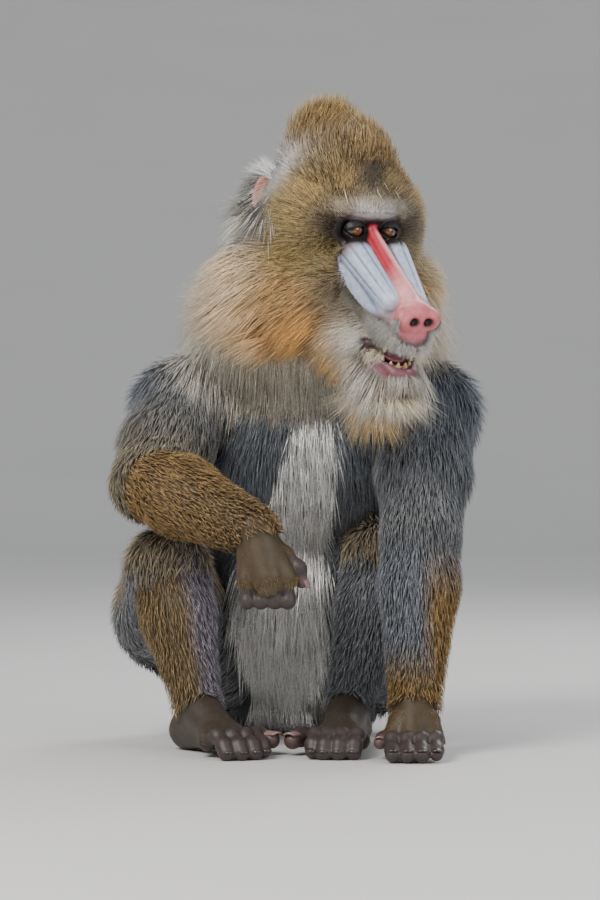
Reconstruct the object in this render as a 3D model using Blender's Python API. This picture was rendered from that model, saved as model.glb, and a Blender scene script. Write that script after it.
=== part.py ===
"""A sitting adult male mandrill, life size, as a still model.

Units are metres. +Z is up, the floor is Z = 0, the animal faces -Y and its left side is +X.
Each sub-part is modelled from rounded masses that are melted together, thinned to few
triangles, and cut clear of what grows from it, so that neighbours meet across GAP.
"""

import math
import random

import bmesh
import bpy
from mathutils import Matrix, Vector
from mathutils.bvhtree import BVHTree

# Fits
GAP = 0.0005
NOTCH = 0.0074
WIDER = 0.0004

# Depth of the short coat, which the solids include
ARM_COAT = 0.010
LEG_COAT = 0.010
FACE_COAT = 0.010
MASK_COAT = 0.024
TRUNK_COAT = 0.018

# Head: its middle, and how far it turns to the animal's left and nods
HEAD_MIDDLE = Vector((0.057, -0.105, 0.640))
HEAD_TURN = math.radians(34)
HEAD_NOD = math.radians(24)

# Joints of the right arm, which rests over the knee, and of the left one, which props
SHOULDER_R = Vector((-0.142, 0.012, 0.410))
ELBOW_R = Vector((-0.178, -0.125, 0.322))
WRIST_R = Vector((-0.052, -0.268, 0.268))
SHOULDER_L = Vector((0.154, -0.005, 0.408))
ELBOW_L = Vector((0.144, -0.132, 0.258))
WRIST_L = Vector((0.136, -0.176, 0.062))
SHOULDER_RADIUS = 0.056
ELBOW_RADIUS = 0.040
FOREARM_RADIUS = 0.042
WRIST_RADIUS = 0.027

# Joints of the bent legs
HIP_R = Vector((-0.088, 0.120, 0.098))
THIGH_R = Vector((-0.158, 0.044, 0.156))
KNEE_R = Vector((-0.160, -0.072, 0.218))
ANKLE_R = Vector((-0.122, -0.116, 0.052))
HIP_L = Vector((0.090, 0.120, 0.098))
THIGH_L = Vector((0.112, 0.046, 0.162))
KNEE_L = Vector((0.102, -0.034, 0.225))
ANKLE_L = Vector((0.058, -0.100, 0.052))
HIP_RADIUS = 0.068
KNEE_RADIUS = 0.042
CALF_RADIUS = 0.039
ANKLE_RADIUS = 0.024

# Eyes
EYE_RADIUS = 0.0115
EYE_APART = 0.048

# Locks: how deep a root is sunk, and how far a lock stays off its neighbours
LOCK_SINK = 0.010
HEAD_LOCK_SINK = 0.009
LOCK_CLEAR = 0.005
LOCK_FLATNESS = 0.24
LOCK_STEP = 0.00004

# Triangles that each kind of sub-part is thinned to
TRUNK_TRIANGLES = 900
NECK_TRIANGLES = 300
HEAD_TRIANGLES = 760
FACE_TRIANGLES = 1300
LIMB_TRIANGLES = 180
HAND_TRIANGLES = 460
EAR_TRIANGLES = 120

HEAD = (
    Matrix.Translation(HEAD_MIDDLE)
    @ Matrix.Rotation(HEAD_TURN, 4, "Z")
    @ Matrix.Rotation(HEAD_NOD, 4, "X")
)


def on_head(x, y, z):
    """The place of a point of the head: x to its left, -y forward, z up."""
    return HEAD @ Vector((x, y, z))


def material(name, colour, roughness):
    made = bpy.data.materials.new(name)
    made.use_nodes = True
    shader = made.node_tree.nodes["Principled BSDF"]
    shader.inputs["Base Color"].default_value = (*colour, 1.0)
    shader.inputs["Roughness"].default_value = roughness
    shader.inputs["Metallic"].default_value = 0.0
    return made


# Rounded masses

def ball(mesh, centre, radii, turn=None, fineness=3):
    """An ellipsoid with these three radii, turned about its centre."""
    place = Matrix.Translation(centre) @ (turn or Matrix()) @ Matrix.Diagonal((*radii, 1.0))
    bmesh.ops.create_icosphere(mesh, subdivisions=fineness, radius=1.0, matrix=place)


def taper(mesh, start, end, start_radius, end_radius):
    """A rod with round ends whose radius changes evenly: the hull of two balls."""
    corners = []
    for centre, radius in ((start, start_radius), (end, end_radius)):
        loose = bmesh.new()
        bmesh.ops.create_icosphere(loose, subdivisions=3, radius=radius)
        corners += [mesh.verts.new(centre + v.co) for v in loose.verts]
        loose.free()
    hull = bmesh.ops.convex_hull(mesh, input=corners, use_existing_faces=False)
    inner = {v for v in hull["geom_interior"] if isinstance(v, bmesh.types.BMVert)}
    bmesh.ops.delete(mesh, geom=list(inner), context="VERTS")


def head_ball(mesh, centre, radii, fineness=3):
    """An ellipsoid whose centre and radii are in the head's own directions."""
    ball(mesh, on_head(*centre), radii, HEAD.to_3x3().to_4x4(), fineness)


def head_taper(mesh, start, end, start_radius, end_radius):
    taper(mesh, on_head(*start), on_head(*end), start_radius, end_radius)


def both_sides(*points):
    """Each side's copy of head points: first the animal's left, then its right."""
    for side in (1, -1):
        yield [(side * x, y, z) for x, y, z in points]


# Working on objects

def new_object(name, mesh, look=None):
    data = bpy.data.meshes.new(name)
    mesh.to_mesh(data)
    mesh.free()
    made = bpy.data.objects.new(name, data)
    bpy.context.scene.collection.objects.link(made)
    if look:
        data.materials.append(look)
    return made


def bake_modifiers(obj):
    """Replaces the object's mesh with what its modifiers make of it."""
    bpy.context.view_layer.update()
    graph = bpy.context.evaluated_depsgraph_get()
    baked = bpy.data.meshes.new_from_object(obj.evaluated_get(graph))
    obj.modifiers.clear()
    old = obj.data
    obj.data = baked
    bpy.data.meshes.remove(old)
    return obj


def keep_largest(obj):
    """Drops all but the object's largest closed surface."""
    mesh = bmesh.new()
    mesh.from_mesh(obj.data)
    unseen = set(mesh.verts)
    pieces = []
    while unseen:
        front = [unseen.pop()]
        piece = list(front)
        while front:
            around = {e.other_vert(v) for v in front for e in v.link_edges} & unseen
            unseen -= around
            piece += around
            front = list(around)
        pieces.append(piece)
    pieces.sort(key=len)
    for piece in pieces[:-1]:
        bmesh.ops.delete(mesh, geom=piece, context="VERTS")
    bmesh.ops.triangulate(mesh, faces=mesh.faces, quad_method="FIXED", ngon_method="EAR_CLIP")
    mesh.to_mesh(obj.data)
    mesh.free()
    return obj


def melt(name, masses, voxel, rounds, triangles, look):
    """One closed body from overlapping masses, their creases softened, thinned to so many triangles."""
    obj = new_object(name, masses, look)
    remesh = obj.modifiers.new("Melt", "REMESH")
    remesh.mode = "VOXEL"
    remesh.voxel_size = voxel
    soften = obj.modifiers.new("Soften", "SMOOTH")
    soften.factor = 0.5
    soften.iterations = rounds
    bake_modifiers(obj)
    return thin(obj, triangles)


def thin(obj, triangles):
    fewer = obj.modifiers.new("Thin", "DECIMATE")
    obj.data.calc_loop_triangles()
    fewer.ratio = triangles / len(obj.data.loop_triangles)
    bake_modifiers(obj)
    return keep_largest(obj)


def grown(obj, by=GAP):
    """A copy of the object whose surface lies further out, for cutting others clear of it."""
    copy = bpy.data.objects.new(obj.name + "_grown", obj.data.copy())
    bpy.context.scene.collection.objects.link(copy)
    mesh = bmesh.new()
    mesh.from_mesh(copy.data)
    bmesh.ops.triangulate(mesh, faces=mesh.faces, quad_method="FIXED", ngon_method="EAR_CLIP")
    mesh.normal_update()
    moves = {}
    for v in mesh.verts:
        steepest = min(v.normal.dot(face.normal) for face in v.link_faces)
        moves[v] = v.normal * (by / max(steepest, 0.25))
    for v, move in moves.items():
        v.co += move
    mesh.to_mesh(copy.data)
    mesh.free()
    return copy


def combine(obj, operation, others, solver="EXACT"):
    """Joins the others to the object, or cuts them from it, and removes them."""
    group = bpy.data.collections.new(obj.name + "_" + operation.lower())
    bpy.context.scene.collection.children.link(group)
    for other in others:
        bpy.context.scene.collection.objects.unlink(other)
        group.objects.link(other)
    joint = obj.modifiers.new("Combine", "BOOLEAN")
    joint.operation = operation
    joint.solver = solver
    joint.operand_type = "COLLECTION"
    joint.collection = group
    bake_modifiers(obj)
    for other in others:
        bpy.data.objects.remove(other)
    bpy.data.collections.remove(group)
    return keep_largest(obj)


def cut_clear(obj, *neighbours):
    """Cuts the object back from what grows from it or lies against it, leaving GAP."""
    for neighbour in neighbours:
        combine(obj, "DIFFERENCE", [grown(neighbour)])
    return obj


def cut_until_clear(obj, *neighbours):
    """Cuts the object back, and again a little wider while the neighbour still reaches into it."""
    for neighbour in neighbours:
        for step in range(5):
            combine(obj, "DIFFERENCE", [grown(neighbour, GAP + step * WIDER)])
            if not surface_of(obj).overlap(surface_of(neighbour)):
                break


def clear_notches(obj, radius, *neighbours):
    """Hollows the object where it still enters a notch of a neighbour that is narrower than the gap."""
    for neighbour in neighbours:
        for _ in range(8):
            pairs = surface_of(obj).overlap(surface_of(neighbour))
            if not pairs:
                break
            faces = (obj.data.polygons[pairs[0][0]], neighbour.data.polygons[pairs[0][1]])
            middle = min(faces, key=lambda face: face.area).center.copy()
            hollow = bmesh.new()
            ball(hollow, middle, (radius, radius, radius), None, 2)
            combine(obj, "DIFFERENCE", [new_object("notch", hollow)])


def stand_flat(*objects):
    """Cuts what reaches below the floor off flat."""
    for obj in objects:
        below = bmesh.new()
        place = Matrix.Translation((0, 0, -0.05)) @ Matrix.Diagonal((2.0, 2.0, 0.1, 1.0))
        bmesh.ops.create_cube(below, size=1.0, matrix=place)
        combine(obj, "DIFFERENCE", [new_object("below_floor", below)])


# Locks

def strip(name, path, half_widths, facing, flatness, tip=None):
    """A closed band along the path: flat below, with one low keel on the side that it faces."""
    mesh = bmesh.new()
    rings = []
    for index, (point, half) in enumerate(zip(path, half_widths)):
        ahead = path[min(index + 1, len(path) - 1)]
        behind = path[max(index - 1, 0)]
        along = (ahead - behind).normalized()
        across = along.cross(facing).normalized()
        up = across.cross(along)
        height = half * flatness
        offsets = (across * half - up * height, up * height, -across * half - up * height)
        rings.append([mesh.verts.new(point + offset) for offset in offsets])
    for ring, following in zip(rings, rings[1:]):
        for corner in range(3):
            other = (corner + 1) % 3
            mesh.faces.new((ring[corner], ring[other], following[other], following[corner]))
    mesh.faces.new(reversed(rings[0]))
    if tip is None:
        mesh.faces.new(rings[-1])
    else:
        end = mesh.verts.new(tip)
        for corner in range(3):
            mesh.faces.new((rings[-1][corner], rings[-1][(corner + 1) % 3], end))
    bmesh.ops.triangulate(mesh, faces=mesh.faces, quad_method="FIXED", ngon_method="EAR_CLIP")
    bmesh.ops.recalc_face_normals(mesh, faces=mesh.faces)
    return new_object(name, mesh)


def surface_of(obj):
    mesh = bmesh.new()
    mesh.from_mesh(obj.data)
    tree = BVHTree.FromBMesh(mesh)
    mesh.free()
    return tree


def lock(core, near, lie, length, width, droop, around, sink=HEAD_LOCK_SINK):
    """A flat tapered lock rooted on the core near this point, which bends and lies clear of what is around."""
    root, normal, _, _ = core.find_nearest(near)
    lie = lie.normalized()
    path = []
    for share, lift in ((0.0, 0.0), (0.42, 0.07), (0.78, 0.04), (1.0, 0.0)):
        path.append(root + (lie + droop * share) * (length * share) + normal * (lift * length))
    path[0] -= normal * sink
    half_widths = [0.5 * width * profile for profile in (0.85, 1.00, 0.72)]
    piece = strip("lock", path[:3], half_widths, normal, LOCK_FLATNESS, tip=path[3])
    drape(piece, path[0], width, around)
    return piece


def drape(piece, root, width, around):
    """Moves what lies inside or against the neighbours out to a small distance from them."""
    for v in piece.data.vertices:
        if (v.co - root).length < 0.6 * width:
            continue
        for tree in around:
            nearest, outward, _, distance = tree.find_nearest(v.co)
            height = (v.co - nearest).dot(outward)
            if distance < 0.08 and height < LOCK_CLEAR:
                lift = 0.0 if v.index % 3 in (0, 2) else width * 0.5 * LOCK_FLATNESS
                v.co += outward * (LOCK_CLEAR + lift - height)


def volume_of(obj):
    mesh = bmesh.new()
    mesh.from_mesh(obj.data)
    volume = mesh.calc_volume()
    mesh.free()
    return volume


def add_locks(obj, locks, neighbours):
    """Cuts the locks clear of the neighbours, drops those left too small or touching, and fuses the rest.

    Each lock keeps its own distance, so that no two of them end on the same surface.
    """
    whole = [volume_of(piece) for piece in locks]
    trees = [surface_of(neighbour) for neighbour in neighbours]
    for neighbour, tree in zip(neighbours, trees):
        for number, piece in enumerate(locks):
            if surface_of(piece).overlap(tree):
                combine(piece, "DIFFERENCE", [grown(neighbour, GAP + LOCK_STEP * (number + 1))])
    kept = []
    for piece, before in zip(locks, whole):
        left = surface_of(piece)
        if volume_of(piece) < 0.3 * before or any(left.overlap(tree) for tree in trees):
            bpy.data.objects.remove(piece)
        else:
            kept.append(piece)
    return combine(obj, "UNION", kept, "MANIFOLD")


# Sub-parts

def make_torso(look):
    mesh = bmesh.new()
    c = TRUNK_COAT
    ball(mesh, Vector((0.002, 0.130, 0.106)), (0.108 + c, 0.088 + c, 0.096 + c))
    ball(mesh, Vector((0.002, 0.066, 0.205)), (0.098 + c, 0.096 + c, 0.135 + c))
    ball(mesh, Vector((0.002, 0.100, 0.270)), (0.112 + c, 0.080 + c, 0.140 + c))
    ball(mesh, Vector((0.012, 0.030, 0.360)), (0.122 + c, 0.104 + c, 0.110 + c))
    taper(mesh, Vector((0.0, 0.145, 0.140)), Vector((0.005, 0.080, 0.430)), 0.070 + c, 0.080 + c)
    for shoulder, inner in ((SHOULDER_R, -0.045), (SHOULDER_L, 0.060)):
        taper(mesh, Vector((inner, 0.040, 0.450)), shoulder, 0.066 + c, 0.048 + c)
        taper(mesh, Vector((inner, 0.040, 0.400)), shoulder - Vector((0, 0, 0.030)), 0.066 + c, 0.044 + c)
    for side in (-1, 1):
        seat = Vector((side * 0.052, 0.150, 0.034))
        ball(mesh, seat, (0.048, 0.050, 0.038))
    return melt("torso", mesh, 0.006, 12, TRUNK_TRIANGLES, look)


def make_neck(look):
    """The neck and the core of its mantle."""
    mesh = bmesh.new()
    c = TRUNK_COAT
    taper(mesh, on_head(0, 0.040, -0.040), Vector((0.014, 0.034, 0.460)), 0.062 + c, 0.100 + c)
    taper(mesh, on_head(0, 0.058, -0.030), Vector((0.008, 0.078, 0.460)), 0.040 + c, 0.086 + c)
    for side in (-1, 1):
        flank = Vector((0.018 + side * 0.080, 0.034, 0.460))
        taper(mesh, on_head(side * 0.020, 0.050, -0.050), flank, 0.046 + c, 0.054 + c)
    return melt("neck", mesh, 0.006, 24, NECK_TRIANGLES, look)


def jaw_masses(mesh):
    """Muzzle, lips and lower jaw, whose mouth is a little open."""
    head_taper(mesh, (0, -0.050, -0.040), (0, -0.146, -0.072), 0.040, 0.031)
    head_ball(mesh, (0, -0.154, -0.082), (0.036, 0.034, 0.019))
    head_taper(mesh, (0, -0.052, -0.004), (0, -0.172, -0.050), 0.008, 0.011)
    head_ball(mesh, (0, -0.176, -0.058), (0.026, 0.017, 0.021))
    head_taper(mesh, (0, -0.060, -0.098), (0, -0.128, -0.130), 0.040, 0.030)
    head_ball(mesh, (0, -0.158, -0.136), (0.027, 0.028, 0.016))
    for jaw_back, jaw_front, ridge_back, ridge_front, wing, corner, upper, lower in both_sides(
        (0.042, -0.010, -0.090),
        (0.020, -0.160, -0.136),
        (0.027, -0.070, -0.020),
        (0.018, -0.150, -0.050),
        (0.015, -0.180, -0.057),
        (0.034, -0.138, -0.108),
        (0.013, -0.184, -0.091),
        (0.012, -0.182, -0.126),
    ):
        head_taper(mesh, jaw_back, jaw_front, 0.028 + FACE_COAT, 0.015)
        head_taper(mesh, ridge_back, ridge_front, 0.019, 0.013)
        head_ball(mesh, wing, (0.014, 0.014, 0.014))
        head_taper(mesh, corner, upper, 0.006, 0.006)
        head_taper(mesh, corner, lower, 0.006, 0.007)
        head_taper(mesh, upper, (0, -0.188, -0.090), 0.006, 0.006)
        head_taper(mesh, lower, (0, -0.186, -0.127), 0.007, 0.007)


def make_head(look):
    """The skull with the cores of crest, ruffs and beard, and the bare face let into it."""
    mesh = bmesh.new()
    c = MASK_COAT
    head_ball(mesh, (0, 0.030, 0.012), (0.062 + c, 0.060 + c, 0.052 + c))
    head_taper(mesh, (0, 0.036, 0.036), (0, 0.078, 0.060), 0.076, 0.046)
    for temple, cheek, jowl, ear_base, ruff in both_sides(
        (0.052, 0.010, -0.014),
        (0.048, -0.036, -0.070),
        (0.042, -0.050, -0.112),
        (0.062, 0.030, -0.030),
        (0.086, 0.000, -0.090),
    ):
        head_ball(mesh, temple, (0.030 + c, 0.044 + c, 0.046 + c))
        head_ball(mesh, cheek, (0.026 + c / 2, 0.036, 0.040))
        head_ball(mesh, jowl, (0.026 + c / 2, 0.044, 0.032))
        head_taper(mesh, ear_base, ruff, 0.046, 0.040)
        head_taper(mesh, ruff, jowl, 0.040, 0.040)
    head_taper(mesh, (0, -0.060, -0.110), (0, -0.130, -0.160), 0.050, 0.020)
    head = melt("head", mesh, 0.004, 12, HEAD_TRIANGLES, look)

    mesh = bmesh.new()
    head_taper(mesh, (-0.034, -0.046, 0.025), (0.034, -0.046, 0.025), 0.014, 0.014)
    head_ball(mesh, (0, -0.028, -0.014), (0.052, 0.024, 0.046))
    jaw_masses(mesh)
    face = melt("face", mesh, 0.002, 3, FACE_TRIANGLES, look)
    combine(head, "UNION", [face])
    combine(head, "UNION", lids(head) + nose_ridges(head))
    return open_mouth(head)


def lids(head):
    """Upper and lower lid of each eye, as bands that follow the eyeball."""
    made = []
    for side in (1, -1):
        middle = Vector((side * EYE_APART / 2, -0.050, 0.002))
        for height, sag in ((0.0075, 0.0035), (-0.0070, -0.0030)):
            path = []
            for step in range(6):
                across = -1.0 + 0.4 * step
                up = height + sag * (1 - across * across) - height * 0.6 * across * across
                out = math.sqrt(max(EYE_RADIUS**2 - up**2 - (0.0105 * across) ** 2, 1e-6)) + 0.0015
                path.append(on_head(*(middle + Vector((0.0125 * across, -out, up)))))
            facing = HEAD.to_3x3() @ Vector((0, -1, 0))
            made.append(strip("lid", path, [0.0026, 0.0034, 0.0036, 0.0036, 0.0034, 0.0026], facing, 1.0))
    return made


def nose_ridges(head):
    """The lengthwise swellings of the blue flank on each side of the nose."""
    made = []
    for side in (1, -1):
        for row in range(3):
            share = row / 2
            back = Vector((side * (0.016 + 0.026 * share), -0.072 + 0.004 * share, -0.004 - 0.030 * share))
            front = Vector((side * (0.012 + 0.020 * share), -0.156 + 0.010 * share, -0.040 - 0.026 * share))
            path = []
            for step in range(4):
                point = back.lerp(front, step / 3)
                point.x += side * 0.006 * math.sin(math.pi * step / 3)
                point.z += 0.005 * math.sin(math.pi * step / 3)
                path.append(on_head(*point))
            facing = HEAD.to_3x3() @ Vector((side * (0.3 + 0.7 * share), -0.3, 0.8 - 0.7 * share))
            made.append(strip("ridge", path, [0.0036, 0.0066, 0.0064, 0.0034], facing, 1.0))
    return made


def open_mouth(head):
    """Cuts the mouth's hollow and the nostrils into the head."""
    hollow = bmesh.new()
    turn = HEAD.to_3x3().to_4x4() @ Matrix.Rotation(math.radians(-6), 4, "X")
    ball(hollow, on_head(0, -0.156, -0.106), (0.027, 0.042, 0.012), turn, 2)
    for (nostril,) in both_sides((0.010, -0.194, -0.059)):
        head_ball(hollow, nostril, (0.006, 0.010, 0.004), 2)
    return combine(head, "DIFFERENCE", [new_object("hollow", hollow)])


def make_eye(name, side, look):
    mesh = bmesh.new()
    place = HEAD @ Matrix.Translation((side * EYE_APART / 2, -0.050, 0.002))
    turn = Matrix.Rotation(math.pi / 2, 4, "X")
    bmesh.ops.create_uvsphere(
        mesh, u_segments=10, v_segments=7, radius=EYE_RADIUS, matrix=place @ turn
    )
    return new_object(name, mesh, look)


def crest_locks(head):
    """The crown's locks rise and lean together into the crest's rounded peak."""
    core = surface_of(head)
    draw = random.Random(3)
    made = []
    for row, (radius, gather, count, height) in enumerate(((0.020, 0.5, 3, 0.124), (0.060, 0.56, 9, 0.112))):
        for number in range(count):
            angle = 2 * math.pi * (number + 0.5 * row) / count
            side, back = radius * math.sin(angle), radius * math.cos(angle)
            near = Vector((side, 0.062 - back, 0.088 - radius * 0.7))
            tip = Vector((side * gather, 0.086 - back * gather, height + draw.uniform(-0.006, 0.004)))
            lie = HEAD.to_3x3() @ (tip - near)
            droop = HEAD.to_3x3() @ Vector((-side, -back * 0.5, 0.0)) * 2.0
            made.append(lock(core, on_head(*near), lie, lie.length, 0.050, droop, []))
    return made


def ruff_locks(head, around):
    """Two tiers on each cheek, which fan from behind the ear round to the throat."""
    core = surface_of(head)
    draw = random.Random(5)
    made = []
    roots = [(0.086, 0.046, -0.020), (0.112, 0.024, -0.066), (0.106, -0.004, -0.112),
             (0.074, -0.040, -0.140), (0.030, -0.080, -0.150)]
    lies = [(0.50, 0.60, -0.42), (0.80, 0.36, -0.46), (0.74, 0.12, -0.66), (0.50, 0.00, -0.87), (0.20, 0.00, -1.0)]
    for side in (1, -1):
        for tier, (count, inward, length) in enumerate(((7, 0.0, 0.092), (6, 0.030, 0.094))):
            for number in range(count):
                place = (number + 0.5 * tier) / (count - 0.5) * (len(roots) - 1)
                index = min(int(place), len(roots) - 2)
                share = place - index
                near = Vector(roots[index]).lerp(Vector(roots[index + 1]), share)
                lie = Vector(lies[index]).lerp(Vector(lies[index + 1]), share)
                near -= inward * (lie + Vector((0, 0.8, 0)))
                near.x *= side
                lie.x *= side
                droop = Vector((0, 0.03, -0.22))
                length_here = length * draw.uniform(0.88, 1.10)
                width = draw.uniform(0.058, 0.066)
                made.append(lock(core, on_head(*near), HEAD.to_3x3() @ lie, length_here, width, droop, around))
    return made


def beard_locks(head, around):
    """The chin's locks hang and draw together to one blunt point."""
    core = surface_of(head)
    draw = random.Random(7)
    made = []
    for row, (back, count, length) in enumerate(((0.0, 4, 0.070), (0.044, 5, 0.086))):
        for number in range(count):
            across = (number / (count - 1) - 0.5) * 2
            near = Vector((0.034 * across, -0.158 + back + 0.010 * across * across, -0.160 + 0.1 * back))
            lie = HEAD.to_3x3() @ Vector((0.10 * across, -0.05 - 0.2 * row, -0.6)) + Vector((0, 0, -0.5))
            length_here = length * draw.uniform(0.88, 1.08) * (1 - 0.25 * abs(across))
            droop = Vector((0.0, 0.0, -0.10)) - (HEAD.to_3x3() @ Vector((0.30 * across, 0, 0)))
            made.append(lock(core, on_head(*near), lie, length_here, 0.030, droop, around))
    return made


def mantle_locks(neck, around):
    """The long mantle falls from the nape over the shoulders and back."""
    core = surface_of(neck)
    draw = random.Random(23)
    made = []
    for row, (height, reach, count, length) in enumerate(((0.560, 0.13, 7, 0.110), (0.490, 0.15, 8, 0.110))):
        for number in range(count):
            angle = math.radians(-100 + 200 * (number + 0.25 * row) / (count - 0.5))
            near = Vector((0.020 + reach * math.sin(angle), 0.030 + reach * math.cos(angle), height))
            lie = Vector((math.sin(angle) * 0.7, math.cos(angle) * 0.7, -0.9))
            droop = Vector((0, 0, -0.20))
            length_here = length * draw.uniform(0.88, 1.1)
            made.append(lock(core, near, lie, length_here, 0.070, droop, around, LOCK_SINK))
    return made


def belly_locks(torso, around):
    """The white strip's long hair hangs from the belly to the floor."""
    core = surface_of(torso)
    draw = random.Random(13)
    made = []
    for row, (height, count, length) in enumerate(((0.190, 3, 0.120), (0.120, 4, 0.100))):
        for number in range(count):
            across = number / (count - 1) - 0.5
            near = Vector((-0.014 + 0.072 * across, -0.12, height))
            lie = Vector((0.10 * across, -0.15, -1.0))
            droop = Vector((-0.10 * across, 0.10, -0.05))
            length_here = length * draw.uniform(0.9, 1.05)
            made.append(lock(core, near, lie, length_here, 0.036, droop, around, LOCK_SINK))
    return made


def ear_place(side):
    """The middle of an ear's shell, which way its hollow faces, and the turn that takes it there."""
    middle = on_head(side * 0.081, 0.056, 0.004)
    facing = (HEAD.to_3x3() @ Vector((side * 0.90, -0.40, 0.15))).normalized()
    return middle, facing, facing.to_track_quat("Z", "Y").to_matrix().to_4x4()


def make_ear(name, side, look):
    """The ear's rounded shell, still without its hollow."""
    mesh = bmesh.new()
    middle, facing, turn = ear_place(side)
    ball(mesh, middle, (0.021, 0.029, 0.009), turn)
    taper(mesh, middle, on_head(side * 0.064, 0.048, -0.002), 0.012, 0.010)
    return melt(name, mesh, 0.002, 2, EAR_TRIANGLES, look)


def cup(ear, side):
    hollow = bmesh.new()
    middle, facing, turn = ear_place(side)
    ball(hollow, middle + facing * 0.007, (0.015, 0.022, 0.009), turn, 2)
    return combine(ear, "DIFFERENCE", [new_object("ear_hollow", hollow)])


def make_teeth(name, level, tip, canine, look):
    """A row of teeth round the jaw's arch; tip is how far the teeth reach, up or down."""
    mesh = bmesh.new()
    arch = [(0.025, -0.128), (0.024, -0.146), (0.020, -0.164), (0.011, -0.174)]
    places = [(-x, y) for x, y in arch] + [(0, -0.176)] + [(x, y) for x, y in reversed(arch)]
    for (xa, ya), (xb, yb) in zip(places, places[1:]):
        head_taper(mesh, (xa, ya, level), (xb, yb, level), 0.0042, 0.0042)
    for index, (x, y) in enumerate(places):
        reach = canine if index in (2, 6) else tip
        head_taper(mesh, (x, y, level), (x * 0.97, y + 0.001, level + reach), 0.0045, 0.0020)
    return melt(name, mesh, 0.0016, 1, 120, look)


def make_tongue(look):
    mesh = bmesh.new()
    head_ball(mesh, (0, -0.140, -0.116), (0.018, 0.030, 0.006), 2)
    return melt("tongue", mesh, 0.002, 1, 60, look)


def make_segment(name, points, radii, coat, look, triangles=LIMB_TRIANGLES):
    """A length of limb: rods through the points, each of its own radius."""
    mesh = bmesh.new()
    for a, b, ra, rb in zip(points, points[1:], radii, radii[1:]):
        taper(mesh, a, b, ra + coat, rb + coat)
    return melt(name, mesh, 0.005, 4, triangles, look)


def between(a, b, share):
    return a.lerp(b, share)


def make_digits(mesh, knuckles, steps, radius):
    """Fingers or toes: each starts at its knuckle and bends through the steps."""
    for knuckle in knuckles:
        start = knuckle
        for step in steps:
            end = start + step
            taper(mesh, start, end, radius, radius * 0.94)
            start = end


def make_hanging_hand(look):
    """The right hand hangs from the wrist, back forward, fingers curled under."""
    mesh = bmesh.new()
    coat = 0.005
    middle = WRIST_R + Vector((0.014, -0.014, -0.052))
    taper(mesh, WRIST_R, middle, WRIST_RADIUS + coat, 0.024)
    knuckles = [middle + Vector((x, 0.0, -0.002)) for x in (-0.024, -0.008, 0.008, 0.023)]
    for knuckle in knuckles:
        taper(mesh, WRIST_R.lerp(knuckle, 0.45), knuckle, 0.016 + coat, 0.011 + coat / 2)
    steps = (Vector((0.001, 0.000, -0.026)), Vector((0, 0.017, 0.002)), Vector((0, 0.004, 0.014)))
    make_digits(mesh, knuckles, steps, 0.0082)
    thumb = WRIST_R + Vector((0.034, 0.002, -0.026))
    make_digits(mesh, [thumb], (Vector((0.016, -0.004, -0.016)), Vector((0.004, 0.004, -0.016))), 0.009)
    return melt("hand_right", mesh, 0.0025, 3, HAND_TRIANGLES, look)


def make_propping_hand(look):
    """The left hand lies on the floor, fingers forward."""
    mesh = bmesh.new()
    coat = 0.005
    middle = WRIST_L + Vector((-0.004, -0.046, -0.040))
    taper(mesh, WRIST_L, middle, WRIST_RADIUS + coat, 0.018)
    taper(mesh, WRIST_L, WRIST_L + Vector((0.0, -0.010, -0.040)), WRIST_RADIUS + coat, 0.024)
    knuckles = [middle + Vector((x, abs(x) * 0.2, 0.0)) for x in (-0.025, -0.008, 0.009, 0.026)]
    for knuckle in knuckles:
        taper(mesh, WRIST_L.lerp(knuckle, 0.5), knuckle, 0.018 + coat, 0.011 + coat / 2)
    steps = (Vector((0, -0.026, 0.004)), Vector((0, -0.018, -0.014)), Vector((0, -0.010, -0.006)))
    make_digits(mesh, knuckles, steps, 0.0085)
    thumb = WRIST_L + Vector((-0.026, -0.012, -0.034))
    make_digits(mesh, [thumb], (Vector((-0.012, -0.020, -0.006)), Vector((-0.004, -0.018, -0.004))), 0.009)
    return melt("hand_left", mesh, 0.0025, 3, HAND_TRIANGLES, look)


def make_foot(name, ankle, heading, inner, look):
    """A flat foot: heel, sole, four toes and a thumb-like great toe on the inner side."""
    mesh = bmesh.new()
    coat = 0.005
    forward = Vector((math.sin(heading), -math.cos(heading), 0))
    across = Vector((math.cos(heading), math.sin(heading), 0)) * inner
    up = Vector((0, 0, 1))
    ground = Vector((ankle.x, ankle.y, 0))
    heel = ground - forward * 0.022 + up * 0.022
    middle = ground + forward * 0.045 + up * 0.030
    taper(mesh, ankle, heel, ANKLE_RADIUS + coat, 0.024 + coat)
    taper(mesh, ankle, middle, ANKLE_RADIUS + coat, 0.023 + coat)
    taper(mesh, heel, middle, 0.024 + coat, 0.022 + coat)
    knuckles = []
    for place in (-0.027, -0.010, 0.007, 0.022):
        knuckle = ground + forward * (0.088 - abs(place) * 0.3) + across * place + up * 0.019
        taper(mesh, middle, knuckle, 0.020 + coat, 0.012)
        knuckles.append(knuckle)
    steps = (
        forward * 0.024 + up * 0.008,
        forward * 0.018 - up * 0.010,
        forward * 0.006 - up * 0.010,
    )
    make_digits(mesh, knuckles, steps, 0.0092)
    great = ground + forward * 0.042 + across * 0.022 + up * 0.020
    steps = (forward * 0.026 + across * 0.024 + up * 0.001, forward * 0.022 + across * 0.006 - up * 0.004)
    make_digits(mesh, [great], steps, 0.0115)
    return melt(name, mesh, 0.0028, 3, HAND_TRIANGLES, look)


def make_tail(look):
    mesh = bmesh.new()
    root = Vector((0.0, 0.215, 0.165))
    taper(mesh, root, root + Vector((0.0, 0.030, 0.022)), 0.024, 0.021)
    taper(mesh, root + Vector((0.0, 0.030, 0.022)), root + Vector((0, 0.042, 0.060)), 0.021, 0.014)
    return melt("tail", mesh, 0.004, 3, 160, look)


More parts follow.
